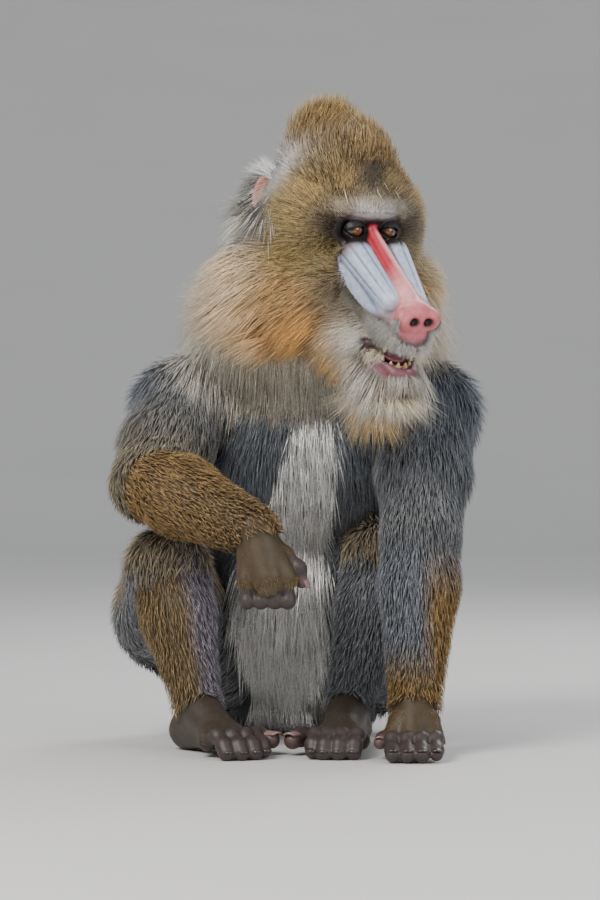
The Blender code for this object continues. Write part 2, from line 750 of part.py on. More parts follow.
def centre_on_origin(objects):
    """Moves the whole so that its middle stands over the origin."""
    corners = [obj.matrix_world @ v.co for obj in objects for v in obj.data.vertices]
    middle = [
        (min(c[axis] for c in corners) + max(c[axis] for c in corners)) / 2 for axis in (0, 1)
    ]
    for obj in objects:
        obj.data.transform(Matrix.Translation((-middle[0], -middle[1], 0)))


def main():
    for obj in list(bpy.data.objects):
        bpy.data.objects.remove(obj)

    grey_coat = material("grey_coat", (0.17, 0.19, 0.20), 0.9)
    olive_coat = material("olive_coat", (0.30, 0.21, 0.10), 0.9)
    gold_coat = material("gold_coat", (0.36, 0.26, 0.12), 0.9)
    dark_skin = material("dark_skin", (0.05, 0.04, 0.04), 0.6)
    pale_skin = material("pale_skin", (0.60, 0.42, 0.40), 0.6)
    eye_brown = material("eye_brown", (0.10, 0.04, 0.01), 0.1)
    ivory = material("ivory", (0.80, 0.72, 0.52), 0.4)

    torso = make_torso(grey_coat)
    neck = make_neck(grey_coat)
    head = make_head(gold_coat)
    eyes = [make_eye("eye_left", 1, eye_brown), make_eye("eye_right", -1, eye_brown)]
    mouth = [
        make_teeth("teeth_upper", -0.091, -0.008, -0.014, ivory),
        make_teeth("teeth_lower", -0.122, 0.006, 0.009, ivory),
        make_tongue(pale_skin),
    ]
    ears = [make_ear("ear_left", 1, pale_skin), make_ear("ear_right", -1, pale_skin)]
    tail = make_tail(grey_coat)

    arm_radii = (SHOULDER_RADIUS, 0.050, ELBOW_RADIUS)
    fore_radii = (ELBOW_RADIUS, FOREARM_RADIUS, WRIST_RADIUS)
    leg_radii = (HIP_RADIUS, 0.064, KNEE_RADIUS)
    calf_radii = (KNEE_RADIUS, CALF_RADIUS, ANKLE_RADIUS)
    limbs = {}
    for side, shoulder, elbow, wrist in (
        ("right", SHOULDER_R, ELBOW_R, WRIST_R),
        ("left", SHOULDER_L, ELBOW_L, WRIST_L),
    ):
        limbs["upper_arm", side] = make_segment(
            "upper_arm_" + side,
            (shoulder, between(shoulder, elbow, 0.5), elbow),
            arm_radii, ARM_COAT, grey_coat,
        )
        limbs["forearm", side] = make_segment(
            "forearm_" + side,
            (elbow, between(elbow, wrist, 0.3), wrist),
            fore_radii, ARM_COAT, olive_coat,
        )
    for side, hip, thigh, knee, ankle in (
        ("right", HIP_R, THIGH_R, KNEE_R, ANKLE_R),
        ("left", HIP_L, THIGH_L, KNEE_L, ANKLE_L),
    ):
        limbs["thigh", side] = make_segment(
            "thigh_" + side, (hip, thigh, knee), leg_radii, LEG_COAT, grey_coat
        )
        limbs["shank", side] = make_segment(
            "shank_" + side, (knee, between(knee, ankle, 0.35), ankle), calf_radii, LEG_COAT, olive_coat
        )
    limbs["hand", "right"] = make_hanging_hand(dark_skin)
    limbs["hand", "left"] = make_propping_hand(dark_skin)
    limbs["foot", "right"] = make_foot("foot_right", ANKLE_R, math.radians(28), 1, dark_skin)
    limbs["foot", "left"] = make_foot("foot_left", ANKLE_L, math.radians(-10), -1, dark_skin)

    stand_flat(torso, limbs["hand", "left"], limbs["foot", "right"], limbs["foot", "left"])
    stand_flat(limbs["thigh", "right"], limbs["thigh", "left"])

    # Each is cut by what grows from it while that is still whole, from the trunk outwards
    arms = [limbs["upper_arm", side] for side in ("right", "left")]
    thighs = [limbs["thigh", side] for side in ("right", "left")]
    shanks = [limbs["shank", side] for side in ("right", "left")]
    cut_clear(head, *arms, *eyes, *ears)
    cut_until_clear(head, *mouth)
    cut_until_clear(torso, neck, head, tail, *arms, *thighs, *shanks)
    cut_clear(neck, head, *ears, *arms)
    clear_notches(neck, NOTCH, head, *arms)
    legs = [*thighs, *shanks, limbs["foot", "right"], limbs["foot", "left"], limbs["forearm", "right"]]
    trees = [surface_of(leg) for leg in legs]
    add_locks(torso, belly_locks(torso, trees), legs)
    trees = [surface_of(obj) for obj in (torso, *arms)]
    add_locks(neck, mantle_locks(neck, trees), [torso, head, *ears, *arms])
    trees = [surface_of(obj) for obj in (neck, torso, *arms)]
    ruff = ruff_locks(head, trees)
    ruff += beard_locks(head, trees)
    ruff += crest_locks(head)
    add_locks(head, ruff, [neck, torso, *arms, *ears])
    cut_clear(mouth[1], mouth[2])
    cup(ears[0], 1)
    cup(ears[1], -1)
    for side in ("right", "left"):
        upper, fore, hand = (limbs[key, side] for key in ("upper_arm", "forearm", "hand"))
        thigh, shank, foot = (limbs[key, side] for key in ("thigh", "shank", "foot"))
        cut_until_clear(upper, fore)
        cut_until_clear(fore, hand)
        cut_until_clear(thigh, shank)
        cut_until_clear(shank, foot)
    centre_on_origin(list(bpy.context.scene.objects))


main()
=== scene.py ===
"""Looks of a sitting adult male mandrill: one skin, a coat of mesh tufts, eyes, teeth, nails, light."""

import math

import bpy
import numpy as np
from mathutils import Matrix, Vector


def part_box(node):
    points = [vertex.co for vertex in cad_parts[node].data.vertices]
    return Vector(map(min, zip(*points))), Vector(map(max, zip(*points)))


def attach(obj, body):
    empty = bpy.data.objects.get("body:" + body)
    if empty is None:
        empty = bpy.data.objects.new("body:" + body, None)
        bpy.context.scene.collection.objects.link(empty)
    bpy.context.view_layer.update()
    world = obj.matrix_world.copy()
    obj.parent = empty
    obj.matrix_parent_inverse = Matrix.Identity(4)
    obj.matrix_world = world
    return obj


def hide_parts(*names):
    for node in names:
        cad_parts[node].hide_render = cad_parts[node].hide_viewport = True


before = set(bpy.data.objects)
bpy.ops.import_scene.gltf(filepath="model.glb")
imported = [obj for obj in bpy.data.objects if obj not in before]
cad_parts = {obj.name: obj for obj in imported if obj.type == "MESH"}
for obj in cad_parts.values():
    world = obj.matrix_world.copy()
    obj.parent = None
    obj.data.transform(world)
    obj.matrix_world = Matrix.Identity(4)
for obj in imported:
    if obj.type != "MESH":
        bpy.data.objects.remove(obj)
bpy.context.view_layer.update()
rng = np.random.default_rng(11)


# Places, in the working frame: the same named joints as the solids

def V(*numbers):
    return np.array(numbers, dtype=float)


def turn_about_x(angle):
    c, s = math.cos(angle), math.sin(angle)
    return np.array([[1.0, 0, 0], [0, c, -s], [0, s, c]])


TURN, NOD = math.radians(34), math.radians(24)
ROLL = np.array([[math.cos(TURN), -math.sin(TURN), 0], [math.sin(TURN), math.cos(TURN), 0], [0, 0, 1.0]])
HEAD_AXES = ROLL @ turn_about_x(NOD)
HEAD_MIDDLE = V(0.057, -0.105, 0.64)
EYE = V(0.024, -0.05, 0.002)
EYE_RADIUS = 0.0115
UP = V(0, 0, 1)

# Shoulder, elbow and wrist
ARMS = {
    "R": (V(-0.142, 0.012, 0.41), V(-0.178, -0.125, 0.322), V(-0.052, -0.268, 0.268)),
    "L": (V(0.154, -0.005, 0.408), V(0.144, -0.132, 0.258), V(0.136, -0.176, 0.062)),
}
# Hip, middle of the thigh, knee and ankle
LEGS = {
    "R": (V(-0.088, 0.12, 0.098), V(-0.158, 0.044, 0.156), V(-0.16, -0.072, 0.218), V(-0.122, -0.116, 0.052)),
    "L": (V(0.09, 0.12, 0.098), V(0.112, 0.046, 0.162), V(0.102, -0.034, 0.225), V(0.058, -0.1, 0.052)),
}


def from_head(points):
    return np.asarray(points) @ HEAD_AXES.T + HEAD_MIDDLE


def turn_from_head(vectors):
    return np.asarray(vectors) @ HEAD_AXES.T


def to_head(points):
    return (np.asarray(points) - HEAD_MIDDLE) @ HEAD_AXES


# How far the frame's solids are moved from the working frame, read from where its eyes are
eye_boxes = [np.array(corner) for node in ("eye_left", "eye_right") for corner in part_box(node)]
SHIFT = sum(eye_boxes) / 4 - from_head(EYE * V(0, 1, 1))
SHIFT[2] = 0.0


# Shapes as distance fields on a grid

FAR = 0.05
# Corners of a grid's cell, and the pairs of them that its edges join
CORNERS = np.array([(x, y, z) for z in (0, 1) for y in (0, 1) for x in (0, 1)])
EDGES = [(a, a + step) for step in (1, 2, 4) for a in range(8) if not a & step]


def unit(v):
    v = np.asarray(v, dtype=float)
    return v / np.maximum(np.linalg.norm(v, axis=-1, keepdims=True), 1e-9)


class Rod:
    """A rod with round ends whose radius changes evenly."""

    def __init__(self, a, b, ra, rb, group=None):
        self.a, self.b, self.ra, self.rb, self.group = V(*a), V(*b), ra, rb, group
        r = max(ra, rb)
        self.low, self.high = np.minimum(a, b) - r, np.maximum(a, b) + r

    def distance(self, p):
        d = self.b - self.a
        h = np.clip((p - self.a) @ d / max(d @ d, 1e-9), 0, 1)
        return np.linalg.norm(p - self.a - h[..., None] * d, axis=-1) - (self.ra + (self.rb - self.ra) * h)


class Egg:
    """An ellipsoid, with its own axes where they are given."""

    def __init__(self, centre, radii, axes=None, group=None):
        self.c, self.r, self.axes, self.group = V(*centre), V(*radii), axes, group
        r = self.r if axes is None else np.full(3, max(radii))
        self.low, self.high = self.c - r, self.c + r

    def distance(self, p):
        q = p - self.c
        if self.axes is not None:
            q = q @ self.axes
        k1 = np.linalg.norm(q / self.r, axis=-1)
        k2 = np.linalg.norm(q / self.r**2, axis=-1)
        return np.where(k2 > 1e-9, k1 * (k1 - 1) / np.maximum(k2, 1e-9), -min(self.r))


class Field:
    """Distances to a surface on an even grid, negative inside."""

    def __init__(self, low, high, cell):
        self.low, self.cell = V(*low), cell
        self.shape = tuple(int(n) for n in np.ceil((V(*high) - self.low) / cell) + 1)
        self.v = np.full(self.shape, FAR, dtype=np.float32)

    def part(self, low, high, margin):
        """The slices and points of the grid that a box reaches, or None."""
        a = np.clip(np.floor((low - margin - self.low) / self.cell).astype(int), 0, self.shape)
        b = np.clip(np.ceil((high + margin - self.low) / self.cell).astype(int) + 1, 0, self.shape)
        if np.any(b <= a):
            return None, None
        ranges = [np.arange(a[i], b[i]) * self.cell + self.low[i] for i in range(3)]
        points = np.stack(np.meshgrid(*ranges, indexing="ij"), axis=-1)
        return tuple(slice(a[i], b[i]) for i in range(3)), points

    def join(self, where, distance, blend, sign=1):
        """Adds distances to a part of the grid with a soft edge, or takes them away with sign -1."""
        was = self.v[where] * sign
        h = np.clip(blend - np.abs(was - distance), 0, None) / blend
        self.v[where] = sign * (np.minimum(was, distance) - h * h * blend / 4)

    def add(self, shape, blend, margin=0.012, on_head=False, mirror=False, relief=None, sign=1):
        for side in (1, -1) if mirror else (1,):
            ends = np.stack((shape.low, shape.high)) * V(side, 1, 1)
            low, high = ends.min(axis=0), ends.max(axis=0)
            if on_head:
                corners = from_head(np.where(CORNERS, high, low))
                low, high = corners.min(axis=0), corners.max(axis=0)
            where, points = self.part(low, high, margin)
            if where is None:
                continue
            if on_head:
                points = to_head(points)
            points = points * V(side, 1, 1)
            distance = shape.distance(points)
            if relief:
                distance = distance + relief(points)
            self.join(where, distance, blend, sign)

    def cut(self, shape, blend, mirror=False):
        self.add(shape, blend, margin=0.006, mirror=mirror, sign=-1)

    def level_off(self, height):
        """Ends the shape flat, just above the floor."""
        heights = np.arange(self.shape[2]) * self.cell + self.low[2]
        self.v = np.maximum(self.v, (height - heights)[None, None, :].astype(np.float32))

    def sample(self, p):
        """Value and outward direction at points."""
        g = np.clip((p - self.low) / self.cell, 0.001, np.array(self.shape) - 1.001)
        i = g.astype(int)
        fx, fy, fz = (g - i).T
        c = {tuple(corner): self.v[tuple((i + corner).T)] for corner in CORNERS}
        x00 = c[0, 0, 0] * (1 - fx) + c[1, 0, 0] * fx
        x10 = c[0, 1, 0] * (1 - fx) + c[1, 1, 0] * fx
        x01 = c[0, 0, 1] * (1 - fx) + c[1, 0, 1] * fx
        x11 = c[0, 1, 1] * (1 - fx) + c[1, 1, 1] * fx
        value = (x00 * (1 - fy) + x10 * fy) * (1 - fz) + (x01 * (1 - fy) + x11 * fy) * fz
        dx = ((c[1, 0, 0] - c[0, 0, 0]) * (1 - fy) + (c[1, 1, 0] - c[0, 1, 0]) * fy) * (1 - fz)
        dx += ((c[1, 0, 1] - c[0, 0, 1]) * (1 - fy) + (c[1, 1, 1] - c[0, 1, 1]) * fy) * fz
        dy = (x10 - x00) * (1 - fz) + (x11 - x01) * fz
        dz = (x01 * (1 - fy) + x11 * fy) - (x00 * (1 - fy) + x10 * fy)
        return value, unit(np.stack((dx, dy, dz), axis=-1))

    def surface(self):
        """Vertices and outward four-cornered faces of the zero level."""
        v = self.v
        inside = v < 0
        nx, ny, nz = v.shape
        total = np.zeros((nx - 1, ny - 1, nz - 1), dtype=np.int8)
        for x, y, z in CORNERS:
            total += inside[x : nx - 1 + x, y : ny - 1 + y, z : nz - 1 + z]
        cells = np.argwhere((total > 0) & (total < 8))
        names = np.full(total.shape, -1, dtype=np.int64)
        names[tuple(cells.T)] = np.arange(len(cells))
        summed = np.zeros((len(cells), 3))
        count = np.zeros(len(cells))
        for a, b in EDGES:
            va = v[tuple((cells + CORNERS[a]).T)].astype(float)
            vb = v[tuple((cells + CORNERS[b]).T)].astype(float)
            crossing = (va < 0) != (vb < 0)
            t = np.where(crossing, va / np.where(crossing, va - vb, 1), 0)
            point = CORNERS[a] + t[:, None] * (CORNERS[b] - CORNERS[a])
            summed += np.where(crossing[:, None], point, 0)
            count += crossing
        vertices = self.low + self.cell * (cells + summed / count[:, None])
        faces = []
        for axis in range(3):
            one, two = (axis + 1) % 3, (axis + 2) % 3
            here = np.moveaxis(inside, (axis, one, two), (0, 1, 2))
            ids = np.moveaxis(names, (axis, one, two), (0, 1, 2))
            for out, sign in ((here[:-1] & ~here[1:], 1), (~here[:-1] & here[1:], -1)):
                i, j, k = np.nonzero(out[:, 1:-1, 1:-1])
                j, k = j + 1, k + 1
                quad = (ids[i, j - 1, k - 1], ids[i, j, k - 1], ids[i, j, k], ids[i, j - 1, k])
                faces.append(np.stack(quad[::sign], axis=-1))
        return vertices, np.concatenate(faces)


# The head, in its own directions: x to its left, -y forward, z up

GROOVE = 0.0015


def groove(p):
    """Lengthwise grooves of the swollen flanks of the nose."""
    a, b = V(0.027, -0.07, -0.02), V(0.018, -0.15, -0.05)
    d = b - a
    h = np.clip((p - a) @ d / (d @ d), 0, 1)
    q = p - a - h[..., None] * d
    angle = np.arctan2(q[..., 2], q[..., 0])
    ends = np.clip(np.minimum(h + 0.25, 1.15 - h) * 4, 0, 1)
    return GROOVE * ends * np.exp(-((np.sin(angle * 3.9 + 0.5) / 0.3) ** 2))


EAR_FACING = unit(V(0.9, -0.4, 0.15))
EAR_UP = unit(V(0, 0, 1) - EAR_FACING * EAR_FACING[2])
EAR_AXES = np.stack((np.cross(EAR_UP, EAR_FACING), EAR_UP, EAR_FACING), axis=1)
EAR_MIDDLE = V(0.081, 0.056, 0.004)

# Shapes of the head without its coat, how softly each joins, and whether it is on both sides
HEAD_MASSES = (
    (Egg((0, 0.032, 0.014), (0.07, 0.07, 0.062)), 0.02, False),
    (Rod((0, 0.036, 0.036), (0, 0.074, 0.054), 0.064, 0.038), 0.02, False),
    (Egg((0.054, 0.006, -0.01), (0.042, 0.052, 0.056)), 0.02, True),
    (Rod((0.064, 0.03, -0.032), (0.086, 0.006, -0.086), 0.036, 0.032), 0.02, True),
    (Rod((0.086, 0.006, -0.086), (0.05, -0.046, -0.108), 0.032, 0.03), 0.02, True),
    (Egg((0, -0.028, -0.014), (0.05, 0.024, 0.046)), 0.012, False),
    (Egg((0.046, -0.036, -0.07), (0.028, 0.034, 0.038)), 0.02, True),
    (Rod((0.042, -0.01, -0.09), (0.02, -0.16, -0.136), 0.03, 0.014), 0.012, True),
    (Rod((0, -0.06, -0.098), (0, -0.128, -0.13), 0.04, 0.03), 0.014, False),
    (Rod((0, 0.03, -0.04), (0.0, 0.01, -0.11), 0.06, 0.05), 0.03, False),
    (Rod((0, -0.05, -0.04), (0, -0.146, -0.072), 0.038, 0.029), 0.01, False),
    (Egg((0, -0.154, -0.082), (0.036, 0.034, 0.019)), 0.01, False),
    (Egg((0, -0.158, -0.136), (0.027, 0.028, 0.016)), 0.008, False),
    (Rod((0, -0.047, 0.021), (0.036, -0.04, 0.022), 0.011, 0.009), 0.01, True),
    (Rod((0, -0.048, 0.004), (0, -0.172, -0.048), 0.0075, 0.0115), 0.005, False),
    (Egg((0, -0.177, -0.058), (0.026, 0.015, 0.021)), 0.006, False),
    (Egg((0.018, -0.181, -0.057), (0.013, 0.012, 0.0135)), 0.004, True),
    (Rod((0.034, -0.138, -0.106), (0.013, -0.184, -0.091), 0.006, 0.006), 0.004, True),
    (Rod((0.013, -0.184, -0.091), (0, -0.188, -0.09), 0.006, 0.006), 0.004, True),
    (Rod((0.034, -0.138, -0.108), (0.012, -0.182, -0.126), 0.005, 0.006), 0.003, True),
    (Rod((0.012, -0.182, -0.126), (0, -0.186, -0.127), 0.0065, 0.0065), 0.003, True),
)
RIDGE = Rod((0.027, -0.071, -0.02), (0.018, -0.15, -0.05), 0.019, 0.0135)
MOUTH_TILT = math.radians(-6)
LID_GAP, LID_REACH, LID_BLEND = 0.0003, 0.0031, 0.0015


def make_head_field():
    field = Field((-0.125, -0.215, -0.175), (0.125, 0.135, 0.125), 0.0018)
    for shape, blend, mirror in HEAD_MASSES:
        field.add(shape, blend, margin=0.02, mirror=mirror)
    field.add(RIDGE, 0.004, mirror=True, relief=groove)
    field.add(Rod((0.066, 0.048, -0.002), EAR_MIDDLE, 0.01, 0.012), 0.008, mirror=True)
    field.add(Egg(EAR_MIDDLE, (0.021, 0.029, 0.009), EAR_AXES), 0.004, mirror=True)
    field.cut(Egg(EAR_MIDDLE + EAR_FACING * 0.007, (0.0155, 0.0225, 0.009), EAR_AXES), 0.003, mirror=True)
    field.add(Egg(EAR_MIDDLE + V(0.004, -0.01, -0.008), (0.004, 0.006, 0.007)), 0.003, mirror=True)
    field.cut(Egg((0, -0.158, -0.107), (0.033, 0.046, 0.014), turn_about_x(MOUTH_TILT)), 0.003)
    field.cut(Egg((0.0102, -0.1965, -0.0575), (0.0074, 0.011, 0.006)), 0.002, mirror=True)
    field.cut(Rod((0, -0.1965, -0.062), (0, -0.193, -0.074), 0.001, 0.0014), 0.003)
    field.cut(Egg(EYE, (EYE_RADIUS + 0.0007,) * 3), 0.002, mirror=True)
    for side in (1, -1):
        add_lids(field, side)
    return field


def add_lids(field, side):
    """A thin shell in front of the eyeball, with an almond opening."""
    centre = EYE * V(side, 1, 1)
    where, points = field.part(centre - 0.018, centre + 0.018, 0)
    q = points - centre
    away = np.linalg.norm(q, axis=-1)
    shell = np.maximum(away - (EYE_RADIUS + LID_REACH), EYE_RADIUS + LID_GAP - away)
    across = q[..., 0] / 0.0125
    upper = 0.0082 - 0.006 * across**2 - 0.001 * side * across
    lower = -0.004 + 0.0034 * across**2 - 0.001 * side * across
    opening = np.maximum(np.maximum(q[..., 2] - upper, lower - q[..., 2]), q[..., 1])
    lid = np.maximum(np.maximum(shell, -opening), q[..., 1] - 0.002)
    field.join(where, lid, LID_BLEND)


# The body without its coat

# Where each arm's flesh starts inside the trunk
INNER = {"R": V(-0.045, 0.04, 0.45), "L": V(0.06, 0.04, 0.45)}
BODY = [
    Egg((0.002, 0.13, 0.106), (0.108, 0.088, 0.096), group="torso"),
    Egg((0.002, 0.066, 0.205), (0.098, 0.096, 0.135), group="torso"),
    Egg((0.002, 0.1, 0.27), (0.112, 0.08, 0.14), group="torso"),
    Egg((0.012, 0.03, 0.36), (0.122, 0.104, 0.11), group="torso"),
    Rod((0.0, 0.145, 0.14), (0.005, 0.08, 0.43), 0.07, 0.08, group="torso"),
    Egg((-0.052, 0.15, 0.036), (0.046, 0.048, 0.034), group="torso"),
    Egg((0.052, 0.15, 0.036), (0.046, 0.048, 0.034), group="torso"),
    Rod((0.0, 0.205, 0.16), (0.0, 0.245, 0.19), 0.022, 0.017, group="tail"),
    Rod((0.0, 0.245, 0.19), (0.0, 0.256, 0.224), 0.017, 0.01, group="tail"),
    Rod(from_head(V(0, 0.04, -0.04)), (0.014, 0.034, 0.46), 0.062, 0.1, group="neck"),
    Rod(from_head(V(0, 0.058, -0.03)), (0.008, 0.078, 0.46), 0.04, 0.086, group="neck"),
    Rod(from_head(V(-0.02, 0.05, -0.05)), (-0.062, 0.034, 0.46), 0.046, 0.054, group="neck"),
    Rod(from_head(V(0.02, 0.05, -0.05)), (0.098, 0.034, 0.46), 0.046, 0.054, group="neck"),
]
for side, (shoulder, elbow, wrist) in ARMS.items():
    inner = INNER[side]
    BODY += [
        Rod(a, b, ra, rb, group=group + side)
        for a, b, ra, rb, group in (
            (inner, shoulder, 0.066, 0.048, "upper"),
            (inner - UP * 0.05, shoulder - UP * 0.03, 0.066, 0.044, "upper"),
            (shoulder, (shoulder + elbow) / 2, 0.056, 0.05, "upper"),
            ((shoulder + elbow) / 2, elbow, 0.05, 0.04, "upper"),
            (elbow, elbow + (wrist - elbow) * 0.3, 0.04, 0.042, "fore"),
            (elbow + (wrist - elbow) * 0.3, wrist, 0.042, 0.026, "fore"),
        )
    ]
for side, (hip, thigh, knee, ankle) in LEGS.items():
    BODY += [
        Rod(hip, thigh, 0.068, 0.064, group="thigh" + side),
        Rod(thigh, knee, 0.064, 0.042, group="thigh" + side),
        Rod(knee, knee + (ankle - knee) * 0.35, 0.042, 0.039, group="shank" + side),
        Rod(knee + (ankle - knee) * 0.35, ankle, 0.039, 0.024, group="shank" + side),
    ]


def digits(knuckles, steps, radius, group):
    """Rods of bent fingers or toes, and where each ends and points."""
    rods, tips = [], []
    for knuckle in knuckles:
        start = knuckle
        for step in steps:
            end = start + step
            rods.append(Rod(start, end, radius, radius * 0.92, group=group))
            rods.append(Egg(end, (radius * 1.06,) * 3, group=group))
            start = end
        tips.append((start, unit(steps[-1])))
    return rods[:-1], tips


def palm(wrist, knuckles, share, thick, group):
    """Rods from the wrist's side to each knuckle."""
    return [Rod(wrist + (k - wrist) * share, k, thick, 0.012, group=group) for k in knuckles]


def hanging_hand():
    wrist = ARMS["R"][2]
    middle = wrist + V(0.014, -0.014, -0.052)
    thumb_root = wrist + V(0.034, 0.002, -0.026)
    knuckles = [middle + V(x, 0.0, -0.002) for x in (-0.024, -0.008, 0.008, 0.023)]
    rods = [Rod(wrist, middle, 0.026, 0.022, group="handR")] + palm(wrist, knuckles, 0.45, 0.017, "handR")
    bends = (V(0.001, 0, -0.026), V(0, 0.017, 0.002), V(0, 0.004, 0.014))
    fingers, tips = digits(knuckles, bends, 0.008, "fingersR")
    thumb, tip = digits([thumb_root], (V(0.016, -0.004, -0.016), V(0.004, 0.004, -0.016)), 0.0086, "fingersR")
    web = [Rod(wrist + V(0.01, 0, -0.012), thumb_root, 0.016, 0.01, group="handR")]
    return rods + fingers + thumb + web, tips + tip


def propping_hand():
    wrist = ARMS["L"][2]
    middle = wrist + V(-0.004, -0.046, -0.04)
    knuckles = [middle + V(x, abs(x) * 0.2, 0.0) for x in (-0.025, -0.008, 0.009, 0.026)]
    rods = [
        Rod(wrist, middle, 0.026, 0.016, group="handL"),
        Rod(wrist, wrist + V(0.0, -0.01, -0.038), 0.026, 0.022, group="handL"),
        *palm(wrist, knuckles, 0.5, 0.018, "handL"),
    ]
    bends = (V(0, -0.026, 0.004), V(0, -0.018, -0.012), V(0, -0.01, -0.004))
    fingers, tips = digits(knuckles, bends, 0.0082, "fingersL")
    bends = (V(-0.012, -0.02, -0.006), V(-0.004, -0.018, -0.002))
    thumb, tip = digits([wrist + V(-0.026, -0.012, -0.034)], bends, 0.0088, "fingersL")
    return rods + fingers + thumb, tips + tip


def foot(name, heading, inner):
    """A flat foot whose great toe stands off to the side that inner gives."""
    ankle = LEGS[name][3]
    forward = V(math.sin(heading), -math.cos(heading), 0)
    across = V(math.cos(heading), math.sin(heading), 0) * inner
    ground = ankle * V(1, 1, 0)
    heel = ground - forward * 0.022 + UP * 0.024
    middle = ground + forward * 0.045 + UP * 0.029
    rods = [
        Rod(ankle, heel, 0.025, 0.024, group="foot" + name),
        Rod(ankle, middle, 0.025, 0.023, group="foot" + name),
        Rod(heel, middle, 0.024, 0.022, group="foot" + name),
    ]
    knuckles = []
    for place in (-0.027, -0.01, 0.007, 0.022):
        knuckle = ground + forward * (0.088 - abs(place) * 0.3) + across * place + UP * 0.019
        rods.append(Rod(middle, knuckle, 0.021, 0.012, group="foot" + name))
        knuckles.append(knuckle)
    steps = (forward * 0.024 + UP * 0.008, forward * 0.018 - UP * 0.01, forward * 0.006 - UP * 0.008)
    toes, tips = digits(knuckles, steps, 0.0088, "toes" + name)
    steps = (forward * 0.026 + across * 0.024 + UP * 0.001, forward * 0.022 + across * 0.006 - UP * 0.003)
    great, tip = digits([ground + forward * 0.042 + across * 0.022 + UP * 0.02], steps, 0.0112, "toes" + name)
    return rods + toes + great, tips + tip


# Each hand's and foot's shapes, and where its digits end and point
HANDS = {
    "handR": hanging_hand(),
    "handL": propping_hand(),
    "footR": foot("R", math.radians(28), 1),
    "footL": foot("L", math.radians(-10), -1),
}
ALL_SHAPES = BODY + [shape for rods, _ in HANDS.values() for shape in rods]
GROUPS = sorted({shape.group for shape in ALL_SHAPES})


def make_body_field():
    field = Field((-0.26, -0.34, -0.02), (0.25, 0.3, 0.68), 0.005)
    for shape in BODY:
        field.add(shape, 0.018, margin=0.03)
    field.level_off(0.0012)
    return field


def make_extremity_field(rods):
    low = np.min([r.low for r in rods], axis=0) - 0.01
    high = np.max([r.high for r in rods], axis=0) + 0.01
    field = Field(low, high, 0.0018)
    for shape in rods:
        field.add(shape, 0.004)
    field.level_off(0.0006)
    return field


def make_whole_field():
    """A coarse field of the whole animal, which long hair is laid over."""
    field = Field((-0.32, -0.4, -0.03), (0.32, 0.36, 0.82), 0.006)
    for shape in BODY:
        field.add(shape, 0.015, margin=0.03)
    for shape, _, mirror in HEAD_MASSES:
        field.add(shape, 0.012, margin=0.03, on_head=True, mirror=mirror)
    for shape in ALL_SHAPES[len(BODY) :]:
        field.add(shape, 0.004, margin=0.02)
    return field


head_points, head_faces = make_head_field().surface()
body_points, body_faces = make_body_field().surface()
whole = make_whole_field()


def mirrored(p):
    return np.stack((np.abs(p[:, 0]), p[:, 1], p[:, 2]), axis=-1)


# Colours, as they look on a screen, made linear

def look(code):
    c = np.array([int(code[i : i + 2], 16) for i in (0, 2, 4)]) / 255
    return np.where(c <= 0.04045, c / 12.92, ((c + 0.055) / 1.055) ** 2.4)


def stops(x, *pairs):
    """Numbers between given places; each pair is a place and its number."""
    return np.interp(x, *zip(*pairs))


def within(p, centre, radii):
    """1 inside the ellipsoid, 0 outside, with a soft edge."""
    d = np.linalg.norm((p - V(*centre)) / V(*radii), axis=-1)
    return np.clip((1.25 - d) / 0.5, 0, 1)


def mix(a, b, share):
    """Mixes two colours or codes, b by the share at each point."""
    a, b = (look(c) if isinstance(c, str) else c for c in (a, b))
    return a + (b - a) * np.asarray(share)[..., None]


